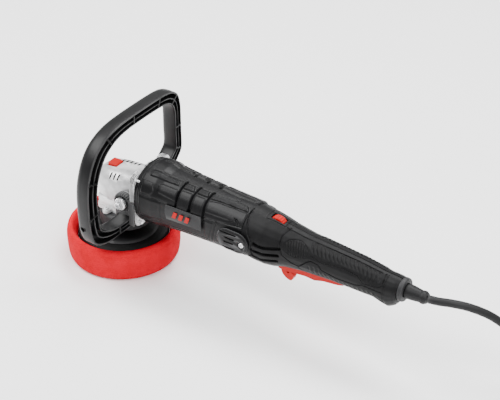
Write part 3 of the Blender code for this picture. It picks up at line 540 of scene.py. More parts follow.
def skin_mesh(xs, centre_z, radius):
    """Closed tube through the grid's points."""
    count = radius.shape[1]
    verts = np.stack(skin_points(xs, centre_z, radius), axis=2).reshape(-1, 3) * MM
    faces = []
    for i in range(len(xs) - 1):
        row, nxt = i * count, (i + 1) * count
        for j in range(count):
            k = (j + 1) % count
            faces.append((row + j, nxt + j, nxt + k, row + k))
    first = len(verts)
    verts = np.vstack([verts, [[x * MM, 0, centre_z(x) * MM] for x in (xs[0], xs[-1])]])
    last_row = (len(xs) - 1) * count
    for j in range(count):
        k = (j + 1) % count
        faces.append((j, k, first))
        faces.append((last_row + k, last_row + j, first + 1))
    return verts, faces


# ---------------------------------------------------------------- cord

CORD_D = 10.0
CORD_START = (455.9, 0.0, 115.5)
CORD_ROUTE = (
    CORD_START, (468.0, 2.0, 116.2), (482.0, 8.0, 115.8), (501.0, 19.5, 110.5), (523.0, 34.5, 97.0),
    (546.0, 47.5, 75.0), (568.0, 56.5, 49.0), (588.0, 63.0, 26.5), (608.0, 69.5, 11.0), (628.0, 77.0, 5.8),
)
CORD_END_RUN = 36.6
COIL_TURNS = 5.41
COIL_RADII = (64.0, 54.0, 44.0, 44.0, 54.0, 64.0)
COIL_LOW_Z = 5.8
COIL_HIGH_Z = 15.9
COIL_LIFT = 2.72      # the turn at which the upper layer starts
COIL_SHIFT = 0.4      # the share of a turn in which the coil changes its radius or layer


def curve_points(points, per):
    """Smooth curve through the points, with per steps between each two."""
    pts = [Vector(p) for p in points]
    pts = [pts[0] * 2 - pts[1]] + pts + [pts[-1] * 2 - pts[-2]]
    out = []
    for i in range(1, len(pts) - 2):
        a, b, c, d = pts[i - 1:i + 3]
        for k in range(per):
            t = k / per
            out.append(0.5 * (2 * b + (c - a) * t + (2 * a - 5 * b + 4 * c - d) * t * t
                              + (3 * b - a - 3 * c + d) * t ** 3))
    out.append(pts[-2])
    return out


def coil_start():
    """The coil's centre, and the angle at which the cord joins it."""
    end, before = Vector(CORD_ROUTE[-1]), Vector(CORD_ROUTE[-2])
    heading = Vector((end.x - before.x, end.y - before.y, 0)).normalized()
    left = Vector((-heading.y, heading.x, 0))
    touch = end + heading * CORD_END_RUN
    centre = touch + left * COIL_RADII[0]
    return centre, math.atan2(touch.y - centre.y, touch.x - centre.x)


def coil_radius(turn):
    half = COIL_SHIFT / 2
    for k in range(1, len(COIL_RADII)):
        if k - half < turn < k + half:
            shift = float(smoothstep((turn - (k - half)) / COIL_SHIFT))
            return COIL_RADII[k - 1] + (COIL_RADII[k] - COIL_RADII[k - 1]) * shift
    return COIL_RADII[min(int(turn), len(COIL_RADII) - 1)]


def cord_points():
    centre, angle = coil_start()
    points = curve_points(CORD_ROUTE, 3)
    steps = int(COIL_TURNS * 40)
    for k in range(1, steps + 1):
        turn = COIL_TURNS * k / steps
        r = coil_radius(turn)
        a = angle + 2 * math.pi * turn
        z = COIL_LOW_Z + (COIL_HIGH_Z - COIL_LOW_Z) * float(smoothstep((turn - COIL_LIFT) / COIL_SHIFT))
        points.append(Vector((centre.x + r * math.cos(a), centre.y + r * math.sin(a), z)))
    plug_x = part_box("power_plug")[1][0] / MM
    last = points[-1]
    run_x, run_y = plug_x - 4 - last.x, centre.y + COIL_RADII[0] - last.y
    for k in range(1, 5):
        points.append(Vector((last.x + run_x * k / 4, last.y + run_y * k / 4, COIL_HIGH_Z)))
    return [p * MM for p in points]


def make_cord():
    points = cord_points()
    data = bpy.data.curves.new("mains_cord", "CURVE")
    data.dimensions = "3D"
    data.bevel_depth = CORD_D / 2 * MM
    data.bevel_resolution = 5
    data.use_fill_caps = True
    spline = data.splines.new("POLY")
    spline.points.add(len(points) - 1)
    for target, p in zip(spline.points, points):
        target.co = (*p, 1)
    spline.use_smooth = True
    data.materials.append(M["rubber"])
    cord = bpy.data.objects.new("mains_cord", data)
    bpy.context.scene.collection.objects.link(cord)
    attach(cord, "frame")
    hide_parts("cord", "cord_coil")


def make_plug():
    """Moulded plug with a ribbed neck and a finger waist."""
    low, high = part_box("power_plug")
    x0, x1 = low[0] / MM, high[0] / MM
    y, z = (low[1] + high[1]) / 2 / MM, (low[2] + high[2]) / 2 / MM
    # Along the plug: x, the half-width and half-height there, and how square the outline is.
    stations = [
        (x1, 5.6, 5.6, 2.0), (x1 - 2, 6.4, 6.4, 2.0), (x1 - 4, 5.9, 5.9, 2.0), (x1 - 7, 6.0, 6.0, 2.0),
        (x1 - 9, 6.9, 6.9, 2.0), (x1 - 11, 6.3, 6.3, 2.0), (x1 - 14, 6.6, 6.6, 2.0), (x1 - 16, 7.5, 7.5, 2.0),
        (x1 - 18, 7.1, 7.1, 2.1), (x1 - 21, 7.6, 7.6, 2.2), (x1 - 24, 11, 9.8, 2.6), (x1 - 28, 14.6, 12.4, 3.0),
        (x1 - 34, 15.6, 12.6, 3.2), (x1 - 40, 17.2, 14.2, 3.4), (x1 - 45, 18.8, 15.4, 3.6),
        (x0 + 1.2, 18.9, 15.4, 3.6), (x0, 18.0, 14.6, 3.6),
    ]
    verts, faces, count = [], [], 40
    for x, a, b, power in stations:
        for k in range(count):
            t = 2 * math.pi * k / count
            c, s = math.cos(t), math.sin(t)
            verts.append((
                x * MM, (y + a * math.copysign(abs(c) ** (2 / power), c)) * MM,
                (z + b * math.copysign(abs(s) ** (2 / power), s)) * MM,
            ))
    for i in range(len(stations) - 1):
        for k in range(count):
            j = (k + 1) % count
            faces.append((i * count + k, i * count + j, (i + 1) * count + j, (i + 1) * count + k))
    faces.append(tuple(range(count))[::-1])
    faces.append(tuple(range((len(stations) - 1) * count, len(stations) * count)))
    ob = mesh_object("mains_plug", verts, faces, M["rubber"], "frame")
    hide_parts("power_plug")


def make_strain_relief():
    """Tapered moulded boot with a bead near its end."""
    x = 420.0
    profile = [
        (0, x - 8), (10.2, x - 8), (10.4, x - 3), (8.2, x - 3), (8.2, x + 7.2), (9.3, x + 8), (9.2, x + 11),
        (8.8, x + 16), (8.2, x + 21), (7.5, x + 26.2), (8.1, x + 27.2), (8.3, x + 29), (8.1, x + 31.2),
        (7.0, x + 32.6), (6.3, x + 34.2), (0, x + 34.3),
    ]
    ob = lathe("cord_boot", profile, along_x(0, 115.5), M["rubber"], "frame", seg=56)
    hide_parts("strain_relief")
    collar = [
        (8.7, x + 0.35), (14.4, x + 0.35), (15.0, x + 1.0), (15.1, x + 1.8), (14.8, x + 5.0), (14.1, x + 6.0),
        (13.2, x + 6.35), (9.6, x + 6.35), (8.9, x + 5.8),
    ]
    ring = lathe("cord_collar", collar, along_x(0, 115.5), M["grey"], "frame", seg=72)
    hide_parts("collar_ring")


# ---------------------------------------------------------------- pad

def make_pad():
    """Foam pad with a bulging wall, a soft shoulder and a sloping inner lip."""
    outline = [
        (0, 0.0), (58, 0.0), (66, 0.15), (69.6, 1.0), (72.2, 3.4), (73.6, 8), (74.4, 16), (74.9, 24),
        (75.1, 31), (74.9, 36), (74.2, 38.4), (73.9, 40.2), (73.2, 42.6), (71.4, 44.3), (69.4, 44.9),
        (67.8, 44.6), (66.2, 43.2), (64.2, 39.8), (62.6, 36), (61.9, 33), (61.8, 28.1), (0, 28.1),
    ]
    profile = [outline[0]] + smooth_profile(outline[1:-1], 4) + [outline[-1]]
    ob = lathe("polishing_foam", profile, along_z(0, 0), M["foam"], "pad", seg=144, sharp=50)
    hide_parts("pad_foam")


# ---------------------------------------------------------------- bow handle

BAND_OUTER = (
    (-30, 77), (-50, 67), (-64, 61), (-78, 61), (-87, 68), (-92.5, 84), (-94.5, 104), (-95, 128),
    (-93.5, 148), (-89, 166), (-81, 183), (-70, 196), (-57, 204.5), (-42, 210), (-24, 213), (0, 214),
    (30, 214), (55, 213.5), (74, 212), (86, 208), (94, 201), (98, 190), (99.5, 175), (99.5, 146),
    (99.5, 119), (94, 109), (80, 96), (60, 82), (30, 75),
)
BAND_INNER = (
    (-30, 90), (-50, 80), (-61, 78), (-68, 79.5), (-71.5, 84), (-73.2, 94), (-74.4, 108), (-75, 128),
    (-73.5, 144), (-69.5, 157), (-63, 170), (-54.5, 181), (-44.5, 188.5), (-33, 194), (-18, 197.5),
    (0, 199), (30, 199), (50, 198.5), (64, 197.5), (74, 194.5), (81, 189.5), (85, 182), (86.5, 172),
    (86.5, 146), (86.5, 124), (80, 115.5), (68, 106), (52, 96), (30, 88),
)
HANDLE_X1 = 24.0
BOLT_X, BOLT_Z, LUG_R, LUG_IN, LUG_OUT = 29.7, 105.0, 13.6, 27.6, 35.8
BOLT_TIP = 22.6
# Where the cross webs stand on the bar's middle line, as (y, z).
WEBS = (
    (-52, 76), (-85, 106), (-83, 155), (-46, 199), (5, 206.6), (54.7, 206), (90, 199), (92.5, 153),
    (92.4, 119), (66, 94),
)
# The bar's outline from the rear face's outer corner round the front and back: (depth, share).
BAR_SECTION = (
    (0.0, 0.05), (0.5, 0.015), (1.6, 0.0), (7.0, 0.0), (13.0, 0.0), (16.5, 0.03), (19.2, 0.1),
    (21.2, 0.2), (22.7, 0.34), (23.3, 0.5), (23.2, 0.66), (22.6, 0.8), (21.2, 0.9), (19.0, 0.965),
    (16.0, 1.0), (9.0, 1.0), (1.6, 1.0), (0.5, 0.985), (0.0, 0.95),
)
REAR_SHARES = (0.87, 0.57, 0.49, 0.14)
CELL_DEPTH = 11.0
HOLE_X, HOLE_Z, HOLE_R = 11.4, 88.5, 3.4      # blind hole in the near leg


def arm_shift(y):
    """How far the bar's rear face moves towards the motor near its ends, to meet the ears."""
    return min(1.0, max(0.0, 78.0 - abs(y)) / 40.0) * (BOLT_X + LUG_R - 0.8 - HANDLE_X1)


def band_line(corners):
    return np.array([(p.x, p.y) for p in curve_points([(y, z, 0) for y, z in corners], 8)])


def band_stations():
    """Ring places along the bar: close pairs at each web, even steps in the cells between."""
    outer, inner = band_line(BAND_OUTER), band_line(BAND_INNER)
    middle = (outer + inner) / 2
    run = np.concatenate([[0], np.cumsum(np.hypot(*np.diff(middle, axis=0).T))])
    marks = []
    for y, z in WEBS:
        k = int(np.argmin(np.hypot(middle[:, 0] - y, middle[:, 1] - z)))
        marks.append(run[k])
    edges, kinds = [0.0], []
    start = 2.5
    edges.append(start)
    kinds.append("solid")
    for mark in sorted(marks) + [run[-1] - 1.5]:
        stop = mark - 1.0
        steps = max(3, round((stop - start) / 4.5))
        for k in range(1, steps + 1):
            edges.append(start + (stop - start) * k / steps)
            kinds.append("cell%d" % len([m for m in marks if m < mark]))
        start = mark + 1.0
        if mark in marks:
            edges.append(start)
            kinds.append("solid")
    edges.append(run[-1])
    kinds.append("solid")
    return edges, kinds, run, outer, inner


def make_bow():
    edges, kinds, run, outer, inner = band_stations()
    bm = bmesh.new()
    rings = []
    section = list(BAR_SECTION) + [(0.0, share) for share in REAR_SHARES]
    for s in edges:
        o = [np.interp(s, run, outer[:, c]) for c in (0, 1)]
        i = [np.interp(s, run, inner[:, c]) for c in (0, 1)]
        middle_y, middle_z = (o[0] + i[0]) / 2, (o[1] + i[1]) / 2
        fade = float(smoothstep((BOLT_Z + 10 - middle_z) / 8))
        x1 = HANDLE_X1 + arm_shift(middle_y) * fade
        rings.append([
            bm.verts.new(((x1 - d) * MM, (o[0] + (i[0] - o[0]) * q) * MM, (o[1] + (i[1] - o[1]) * q) * MM))
            for d, q in section
        ])
    count = len(section)
    first_rear = len(BAR_SECTION)
    cells = {}
    for n, (low, high) in enumerate(zip(rings, rings[1:])):
        for k in range(count):
            j = (k + 1) % count
            face = bm.faces.new((low[k], low[j], high[j], high[k]))
            row = {first_rear: "a", first_rear + 2: "b"}.get(k)
            if row and kinds[n] != "solid":
                cells.setdefault((row, kinds[n]), []).append(face)
    bm.faces.new(rings[0])
    bm.faces.new(rings[-1][::-1])
    bmesh.ops.recalc_face_normals(bm, faces=bm.faces)
    for faces in cells.values():
        bmesh.ops.inset_region(bm, faces=faces, thickness=0.35 * MM, depth=-CELL_DEPTH * MM,
                               use_even_offset=True, use_boundary=True)
    handle = bm_object("bow_handle_moulding", bm, M["handle"], "frame", sharp=40)
    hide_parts("bow_handle")
    bevel(handle, 0.35, 1, 50)
    for tag, sign in (("near", -1), ("far", 1)):
        make_lug(tag, sign)
        make_bolt(tag, sign)
    dimple = bmesh.new()
    add_lathe(dimple, [(0, -99), (HOLE_R, -99), (HOLE_R, -87.5), (0, -87.5)], along_y(HOLE_X, HOLE_Z), 24)
    cut(handle, dimple, sharp=40)
    # Painted shade: the hole's inner faces get the dark recess material.
    handle.data.materials.append(M["shadow"])
    for face in handle.data.polygons:
        x, y, z = (c / MM for c in face.center)
        if math.hypot(x - HOLE_X, z - HOLE_Z) < HOLE_R + 0.1 and -97 < y < -87:
            face.material_index = 1


# The ear's skirt outside the head's flange, seen from above, as (x, distance from the middle).
SKIRT = ((42.0, 28.0), (43.9, 28.0), (43.9, 37.8), (51.0, 37.8), (51.0, 39.6), (43.0, 39.6), (42.0, 38.6))


def lug_outline(r, base):
    points = [(r, base), (r, 0)]
    points += [(r * math.cos(math.pi * k / 20), r * math.sin(math.pi * k / 20)) for k in range(1, 20)]
    return points + [(-r, 0), (-r, base)]


def make_lug(tag, sign):
    """Ear on the head's flank, its skirt over the flange, and a ribbed boss round the bolt."""
    bm = bmesh.new()
    y0, y1 = LUG_IN + 0.2, LUG_OUT - 1.0
    place = lambda a, b, t: ((BOLT_X + a) * MM, sign * t * MM, (BOLT_Z + b) * MM)
    layers = ((LUG_R - 0.8, -28.0, y0), (LUG_R - 0.8, -28.0, y1 - 1.0), (LUG_R - 1.8, -27.0, y1))
    rings = [[bm.verts.new(place(a, b, y)) for a, b in lug_outline(r, base)] for r, base, y in layers]
    n = len(rings[0])
    for low, high in zip(rings, rings[1:]):
        for k in range(n):
            j = (k + 1) % n
            bm.faces.new((low[k], low[j], high[j], high[k]))
    bm.faces.new(rings[0][::-1])
    bm.faces.new(rings[-1])
    bm_object("handle_ear_" + tag, bm, M["handle"], "frame")
    bm = bmesh.new()
    add_prism(bm, [(x, sign * y) for x, y in SKIRT], along_z(0, 0), 78.0, 113.0)
    bevel(bm_object("handle_skirt_" + tag, bm, M["handle"], "frame"), 0.5)
    ribs = lambda angle, r, t: 1.0 - (0.075 if math.cos(angle * 26) > 0.1 and r > 11 else 0.0)
    boss = [(4.6, y0 + 0.8), (13.5, y0 + 0.8), (13.5, y1 + 0.2), (12.2, y1 + 1.6), (10.4, y1 + 1.6),
            (9.6, y1 + 0.8), (4.6, y1 + 0.8)]
    lathe("handle_boss_" + tag, boss, along_y(BOLT_X, BOLT_Z, sign), M["handle"], "frame", 156, ribs)


def make_bolt(tag, sign):
    """Serrated bolt head with a small hexagon on its end."""
    y = LUG_OUT + 0.3
    teeth = lambda angle, r, t: 1.0 - (0.09 if math.cos(angle * 18) > 0 and r > 7.0 else 0.0)
    head = [
        (0, BOLT_TIP), (3.9, BOLT_TIP), (3.9, y), (7.6, y), (8.2, y + 0.6), (8.2, y + 4.9), (7.5, y + 5.7),
        (6.6, y + 6.0), (5.8, y + 5.2), (0, y + 5.2),
    ]
    side = "left" if sign < 0 else "right"
    ob = lathe("bolt_head_" + tag, head, along_y(BOLT_X, BOLT_Z, sign), M["steel"], "frame", 108, teeth)
    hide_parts("handle_bolt_" + side)
    bm = bmesh.new()
    tip = [(0, y + 5.0), (4.9, y + 5.0), (4.9, y + 9.8), (4.2, y + 10.6), (2.2, y + 10.6), (1.8, y + 8.6),
           (0, y + 8.6)]
    add_lathe(bm, tip, along_y(BOLT_X, BOLT_Z, sign), 6)
    bevel(bm_object("bolt_hexagon_" + tag, bm, M["steel"], "frame"), 0.3)


# ---------------------------------------------------------------- motor housing

MOTOR_AXIS_Z = 117.0
ARC = 0.63             # mm on the housing's side for each degree round it
PANEL_SCALE = 1.45
PANEL_EDGE = 0.6
MOTOR_SINK = 1.3       # mm by which the skin under the panels is set back

# Raised panels as (corners, height), with each corner at x and degrees above the side's middle.
MOTOR_PANELS = (
    (((67, 59), (67, 71), (106.5, 71.5), (108, 62)), 1.0),
    (((86, 36), (84, 49), (88, 53), (111.5, 53.5), (111.5, 32)), 1.1),
    (((116, 61), (116, 73), (128, 73.5), (131.5, 62)), 1.3),
    (((116, 19), (116, 56), (131.5, 57), (131.5, 19)), 1.0),
    (((136.5, 62), (136.5, 74), (149, 75), (152, 63)), 1.3),
    (((136.5, 19), (136.5, 57.5), (151.5, 58), (151.5, 19)), 1.0),
    (((156.5, 62), (156.5, 77), (188, 81), (205, 79), (211, 66.5), (170, 65)), 1.0),
    (((156.5, 34), (156.5, 57), (169, 61), (211, 63), (211, 34.5), (202, 37), (190, 36)), 1.1),
    (((197.5, 44), (203.5, 35), (207, 35), (202, 44)), -1.8),
    (((62, 26), (62, 48), (76, 48), (80, 34), (76, 26)), 0.8),
    (((60, -20), (60, 18), (92, 18), (92, -20)), 0.5),
    (((158, -28), (158, 17), (170, 17), (163, -28)), 0.5),
)
# Grooves as (points, width, depth).
MOTOR_GROOVES = (
    (((113.8, 77), (113.8, 18)), 2.8, 2.8),
    (((134.2, 78), (133.6, 18)), 2.8, 2.8),
    (((154.2, 79), (154.2, 17)), 3.0, 2.8),
    (((66, 74.5), (113, 76.5), (154, 79), (186, 83), (190, 89)), 1.1, 0.9),
    (((175, 24), (172, 0), (165, -48)), 1.4, 1.1),
    (((62, 22), (100, 22)), 1.3, 0.9),
    (((58, -30), (164, -30)), 1.2, 0.9),
    (((58.5, -90), (58.5, 90)), 1.2, 0.8),
    (((100, 17.5), (172, 24), (211, 31)), 1.2, 0.9),
)


def motor_relief(x, y, z):
    psi = np.degrees(np.arctan2(z - MOTOR_AXIS_Z, np.abs(y)))
    t = psi * ARC
    total = np.zeros(x.shape)
    for polygon, height in MOTOR_PANELS:
        total += panel(x, t, [(a, b * ARC) for a, b in polygon], height * PANEL_SCALE, PANEL_EDGE)
    for points, width, depth in MOTOR_GROOVES:
        total += groove(x, t, [(a, b * ARC) for a, b in points], width, depth)
    for k in range(11):
        at = 104 + 5.6 * k
        total += groove(x, t, [(at, -38 * ARC), (at, -47 * ARC)], 2.6, 2.0)
    return total


def motor_axis(x):
    return MOTOR_AXIS_Z


def make_motor():
    tree = node_tree_of("motor_housing")
    low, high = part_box("motor_housing")
    x0, x1 = low[0] / MM + 0.02, high[0] / MM - 0.02
    xs = list(np.linspace(x0, x1, 300))
    base = skin_grid(tree, xs, motor_axis, 440)
    base = closing(base, 6, 0, False)
    base = closing(base, 7, 1, True)
    base = blurred(blurred(base, 4, 1, True), 2, 0, False)
    relief = motor_relief(*skin_points(xs, motor_axis, base))
    base = base - MOTOR_SINK + blurred(blurred(relief, 1, 1, True), 1, 0, False)
    ob = mesh_object("motor_shell", *skin_mesh(xs, motor_axis, base), M["body"], "frame", sharp=38)
    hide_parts("motor_housing")


def make_badges():
    for tag, sign in (("left", -1), ("right", 1)):
        bevel(copy_of("badge_" + tag, "badge_plate_" + tag, M["badge"], "frame"), 0.4)
        low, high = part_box("badge_" + tag)
        face = max(abs(low[1]), abs(high[1])) / MM
        bm = bmesh.new()
        for k in range(3):
            x = 112 + 9.5 * k
            outline = [(x, 117), (x + 5.5, 117), (x + 8.5, 125.5), (x + 3.0, 125.5)]
            add_prism(bm, outline, lambda a, b, t: (a * MM, sign * t * MM, b * MM), face - 0.3, face + 0.35)
        bevel(bm_object("badge_bars_" + tag, bm, M["red"], "frame"), 0.15)


CAP_SLOTS = (
    ((184, 126), (208, 126.5)), ((192, 119.5), (205, 119.5)), ((191, 113), (204, 113)),
    ((183, 104.5), (206, 105.5)),
)
CAP_SCREW_X, CAP_SCREW_Z = 216.5, 116


def make_brush_covers():
    for tag, sign in (("left", -1), ("right", 1)):
        ob = copy_of("brush_cover_" + tag, "brush_cap_" + tag, M["body"], "frame")
        bm = bmesh.new()
        place = along_y(0, 0, sign)
        screw_place = along_y(CAP_SCREW_X, CAP_SCREW_Z, sign)
        for a, b in CAP_SLOTS:
            add_prism(bm, capsule(a, b, 1.2), place, 36.9, 41)
        add_lathe(bm, [(0, 37.6), (4.8, 37.6), (4.8, 42), (0, 42)], screw_place, 32)
        cut(ob, bm)
        bevel(ob, 0.4)
        profile = [(0, 36.4), (3.3, 36.4), (3.3, 38.5), (2.9, 39.0), (2.4, 39.05), (2.2, 38.1), (0, 38.1)]
        screw = lathe("brush_cap_screw_" + tag, profile, screw_place, M["steel"], "frame", 40)
        for turn in (0.6, 0.6 + math.pi / 2):
            c, s = math.cos(turn) * 1.8, math.sin(turn) * 1.8
            ends = (CAP_SCREW_X - c, CAP_SCREW_Z - s), (CAP_SCREW_X + c, CAP_SCREW_Z + s)
            cross = bmesh.new()
            add_prism(cross, capsule(*ends, 0.45, 2), place, 37.0, 39.5)
            cut(screw, cross)
        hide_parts("brush_screw_" + tag)


# ---------------------------------------------------------------- rear grip

GRIP_GROOVES = (
    (((212.6, 152), (214, 146), (217, 138), (221, 130), (227, 122.5), (227.5, 104), (219, 94), (216, 80)),
     1.9, 1.5),
    (((268, 144), (263, 137.5), (263, 128), (268, 116), (279, 109), (289.4, 106), (301, 117.5), (306, 121),
      (317, 119.5), (322.5, 113.5), (343, 109.7), (368.2, 110.4), (376.4, 113.6), (402, 112.2)), 1.3, 1.1),
    (((305, 127), (321.5, 123.2), (334.7, 124.9), (352, 126), (369.2, 123.6), (377.5, 116.8), (396, 117),
      (402, 121), (401, 131), (398.5, 140)), 1.2, 1.0),
    (((289, 104), (300, 94), (340, 92.5)), 1.1, 0.8),
    (((306, 100), (352, 98.5), (372, 101), (402, 99)), 1.0, 0.7),
    (((404, 80), (404, 140)), 1.0, 0.7),
)
VENTS = (
    ((230.0, 120.4), (243.0, 119.0), (263.0, 122.8)),
    ((228.0, 110.8), (243.0, 109.2), (262.0, 113.0)),
    ((227.5, 101.4), (240.0, 98.4), (260.0, 103.4)),
)


# Fields of fine ribs, seen from the side as (x, z).
WAVE_ZONE = (
    (300, 145), (300, 129), (322, 126), (336, 128), (352, 129), (371, 126.5), (380, 120), (395, 120),
    (399, 124), (396, 145),
)
LOW_ZONE = (
    (300, 113), (318, 116), (321, 110), (342, 106.5), (398, 108), (398, 101.5), (354, 101), (306, 103),
)
# Openings for the trigger and its lever, and for the dial, as two corners.
GRIP_OPENINGS = (
    ((249.3, -8.9, 60), (346.0, 8.9, 104.6)),
    ((237.4, -5.2, 136.0), (256.8, 5.2, 160)),
)


def grip_axis(x):
    return float(np.interp(x, [212, 300, 420], [116.0, 110.5, 113.0]))


def grip_relief(x, y, z):
    total = np.zeros(x.shape)
    side = np.abs(y) > 4
    for points, width, depth in GRIP_GROOVES:
        total += np.where(side, groove(x, z, points, width, depth), 0)
    for points in VENTS:
        total += np.where(np.abs(y) > 12, groove(x, z, points, 4.0, 4.2), 0)
    oval = 1 - np.hypot((x - 284.5) / 16.5, (z - 127.8 + (x - 284.5) * 0.05) / 9.2)
    patch = smoothstep(oval * 9) * side
    total += patch * (-0.35 + 0.55 * np.cos((x + (z - 128) * 0.35) * 2 * np.pi / 3.4))
    total += -0.8 * smoothstep(1 - np.abs(oval) * 16) * side
    waves = smoothstep(inside(x, z, WAVE_ZONE) / 3) * (np.abs(y) > 7)
    total += waves * 0.6 * np.sin((x + (z - 130) * 0.45 + 1.5 * np.sin(z / 3.0)) * 2 * np.pi / 5.4)
    total += smoothstep(inside(x, z, LOW_ZONE) / 2) * 0.45 * np.sin(x * 2 * np.pi / 6.5) * side
    crown = (z > grip_axis(300)) & (x > 262)
    total += np.where(crown, groove(x, np.abs(y), [(262, 7.2), (396, 5.6)], 1.3, 1.1), 0)
    frame_line = [(233.5, -8.6), (261, -7.6), (261, 7.6), (233.5, 8.6), (233.5, -8.6)]
    total += np.where(z > 128, groove(x, y, frame_line, 1.3, 0.9), 0)
    parting = np.abs(y) < 0.7
    total += np.where(parting & ((x > 258) | (z < 110)), -0.8, 0)
    return total


def make_grip():
    tree = node_tree_of("rear_grip_left", "rear_grip_right")
    low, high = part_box("rear_grip_left")
    x0, x1 = low[0] / MM + 0.02, high[0] / MM - 0.02
    xs = list(np.linspace(x0, x1, 280))
    base = skin_grid(tree, xs, grip_axis, 300)
    base = closing(base, 17, 1, True)
    base = blurred(blurred(base, 2, 1, True), 2, 0, False)
    base = base - 0.1 + grip_relief(*skin_points(xs, grip_axis, base))
    ob = mesh_object("grip_shell", *skin_mesh(xs, grip_axis, base), M["grip"], "frame", sharp=38)
    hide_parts("rear_grip_left", "rear_grip_right")
    for corners in GRIP_OPENINGS:
        opening = bmesh.new()
        add_box(opening, *corners)
        cut(ob, opening, "MANIFOLD", 38)


def make_dial():
    """Thumb wheel with a milled rim."""
    low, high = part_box("speed_dial")
    r = (high[0] - low[0]) / 2 / MM
    x, z = (low[0] + high[0]) / 2 / MM, (low[2] + high[2]) / 2 / MM
    milled = lambda angle, q, t: 1.0 - (0.035 if q > r - 1 and math.cos(angle * 20) < -0.2 else 0.0)
    profile = [(0, -4.5), (r - 1.2, -4.5), (r, -3.4), (r, 3.4), (r - 1.2, 4.5), (0, 4.5)]
    ob = lathe("thumb_wheel", profile, along_y(x, z), M["red"], "dial", 120, milled)
    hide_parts("speed_dial")


# ---------------------------------------------------------------- gear head

TOP_VENTS = (-5.0, 1.5, 8.0, 14.5, 21.0)
SHOULDER_VENTS = (0.8, 7.0, 13.2)
FLANGE_RIDGES = (45.6, 47.6, 49.6)
FLANGE_Y, FLANGE_Z, FLANGE_MIDDLE_Z = 37.5, 38.5, 113
FLANGE_HOLE_X, FLANGE_HOLE_Y = 47.2, 2


def flange_shape(angle, r, t):
    """Radius factor of the flange's squared outline."""
    c, q = abs(math.cos(angle)) / FLANGE_Y, abs(math.sin(angle)) / FLANGE_Z
    return (c ** 8 + q ** 8) ** (-1 / 8)


def make_gear_head():
    """Casting with vent slots on top and on both shoulders, and a ridged flange, with painted shade inside the
    slots and the ridge grooves.
    """
    ob = copy_of("gear_head_housing", "gear_head_casting", M["cast"], "frame", 30)
    bm = bmesh.new()
    for x in TOP_VENTS[:2]:
        add_box(bm, (x, 8, 131.0), (x + 3.2, 17, 140))
    for x in SHOULDER_VENTS:
        add_prism(bm, capsule((x, -18.6), (x, -22.8), 1.2), along_z(0, 0), 124.2, 136)
    cut(ob, bm, sharp=30)
    bm = bmesh.new()
    for x in FLANGE_RIDGES:
        ring = [(0.96, x), (1.2, x), (1.2, x + 1.0), (0.96, x + 1.0)]
        add_lathe(bm, ring, along_x(0, FLANGE_MIDDLE_Z), 96, flange_shape)
    cut(ob, bm, sharp=30)
    bm = bmesh.new()
    add_box(bm, (38, -20, 149.2), (50.2, -6, 156))
    add_box(bm, (38, 10, 149.2), (50.2, 20, 156))
    add_lathe(bm, [(0, 149.4), (2.6, 149.4), (2.6, 156), (0, 156)], along_z(FLANGE_HOLE_X, FLANGE_HOLE_Y), 20)
    cut(ob, bm, sharp=30)
    bevel(ob, 0.5)
    # Painted shade: faces inside the vent slots and the flange's ridge grooves get the dark recess material.
    ob.data.materials.append(M["shadow"])
    for face in ob.data.polygons:
        x, y, z = (c / MM for c in face.center)
        top_slot = z > 130 and 7.9 < y < 17.1 and any(v - 0.05 < x < v + 3.25 for v in TOP_VENTS)
        side_slot = z > 124 and -24.2 < y < -17.2 and any(abs(x - v) < 1.25 for v in SHOULDER_VENTS)
        deep = max(abs(y) / FLANGE_Y, abs(z - FLANGE_MIDDLE_Z) / FLANGE_Z) < 0.975
        ridge = deep and any(r - 0.02 < x < r + 1.02 for r in FLANGE_RIDGES)
        if top_slot or side_slot or ridge:
            face.material_index = 1
    # Painted shade: a thin dark disc in the recess material at the bottom of the round flange hole.
    plug = [(0, 149.5), (2.5, 149.5), (2.5, 150.2), (0, 150.2)]
    lathe("flange_hole_shade_disc", plug, along_z(FLANGE_HOLE_X, FLANGE_HOLE_Y), M["shadow"], "frame", 24)


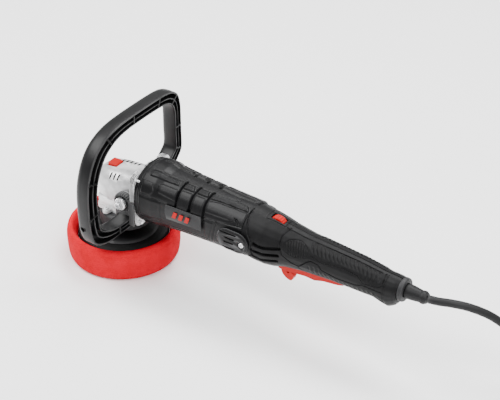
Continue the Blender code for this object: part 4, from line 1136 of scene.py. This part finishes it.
def make_cover_ears():
    """Screwed ears of the bearing cover, under the head's flanks."""
    for tag, side in (("near", -1), ("far", 1)):
        bm = bmesh.new()
        add_prism(bm, capsule((-1, side * 23.0), (-3, side * 29.5), 4.8, 9), along_z(0, 0), 74.4, 79.5)
        bevel(bm_object("cover_ear_" + tag, bm, M["cast"], "frame"), 0.7)
        cap = [(0, 79.3), (2.9, 79.3), (2.9, 80.8), (2.4, 81.3), (1.5, 81.3), (1.3, 80.2), (0, 80.2)]
        lathe("cover_ear_screw_" + tag, cap, along_z(-3, side * 29.5), M["steel"], "frame", 28)


# ---------------------------------------------------------------- the rest

# CAD nodes that keep their shape, by material, and the edge radius of those that are rounded.
KEPT = {
    "steel": ("pad_spindle", "main_spindle", "eccentric_bearing", "spindle_bearing_lower",
              "spindle_bearing_upper", "lock_spring", "armature_shaft", "motor_bearing_front",
              "motor_bearing_rear", "plug_pin_left", "plug_pin_right",
              *("%s_screw_%d" % (part, k) for part in ("cover", "flange") for k in (1, 2, 3, 4))),
    "gear": ("eccentric_weight", "crown_gear", "pinion_gear"),
    "copper": ("armature_core", "commutator"),
    "carbon": ("carbon_brush_left", "carbon_brush_right"),
    "laminate": ("stator_core",),
    "board": ("control_board",),
    "body": ("spindle_shroud", "backing_plate", "cooling_fan", "switch_module"),
    "cushion": ("backing_cushion",),
    "cloth": ("pad_loop_layer",),
    "cast": ("bearing_cover",),
    "red": ("lock_button", "trigger_paddle", "lock_off_lever"),
}
ROUNDED = {"bearing_cover": 0.5, "lock_button": 0.4, "trigger_paddle": 0.8, "lock_off_lever": 0.5,
           "spindle_shroud": 0.5, "backing_plate": 0.4}


def make_kept_nodes():
    for key, names in KEPT.items():
        for name in names:
            ob = finish_node(name, M[key])
            if name in ROUNDED:
                bevel(ob, ROUNDED[name])


def make_floor():
    mesh = bpy.data.meshes.new("studio_floor")
    s = 6.0
    mesh.from_pydata([(-s, -s, 0), (s, -s, 0), (s, s, 0), (-s, s, 0)], [], [(0, 1, 2, 3)])
    mesh.materials.append(surface("pale_floor", (0.93, 0.93, 0.93), (0.95, 0.95, 0.95), (0.75, 0.85), grain=3,
                                  bump=0.02, patch=300, specular=0.1))
    floor = bpy.data.objects.new("studio_floor", mesh)
    floor.location = (0, 0, -0.0002)
    bpy.context.scene.collection.objects.link(floor)


make_camera()
make_studio()
make_floor()
make_plug()
make_cord()
make_strain_relief()
make_pad()
make_bow()
make_motor()
make_badges()
make_brush_covers()
make_grip()
make_dial()
make_gear_head()
make_cover_ears()
make_kept_nodes()

bpy.context.view_layer.update()
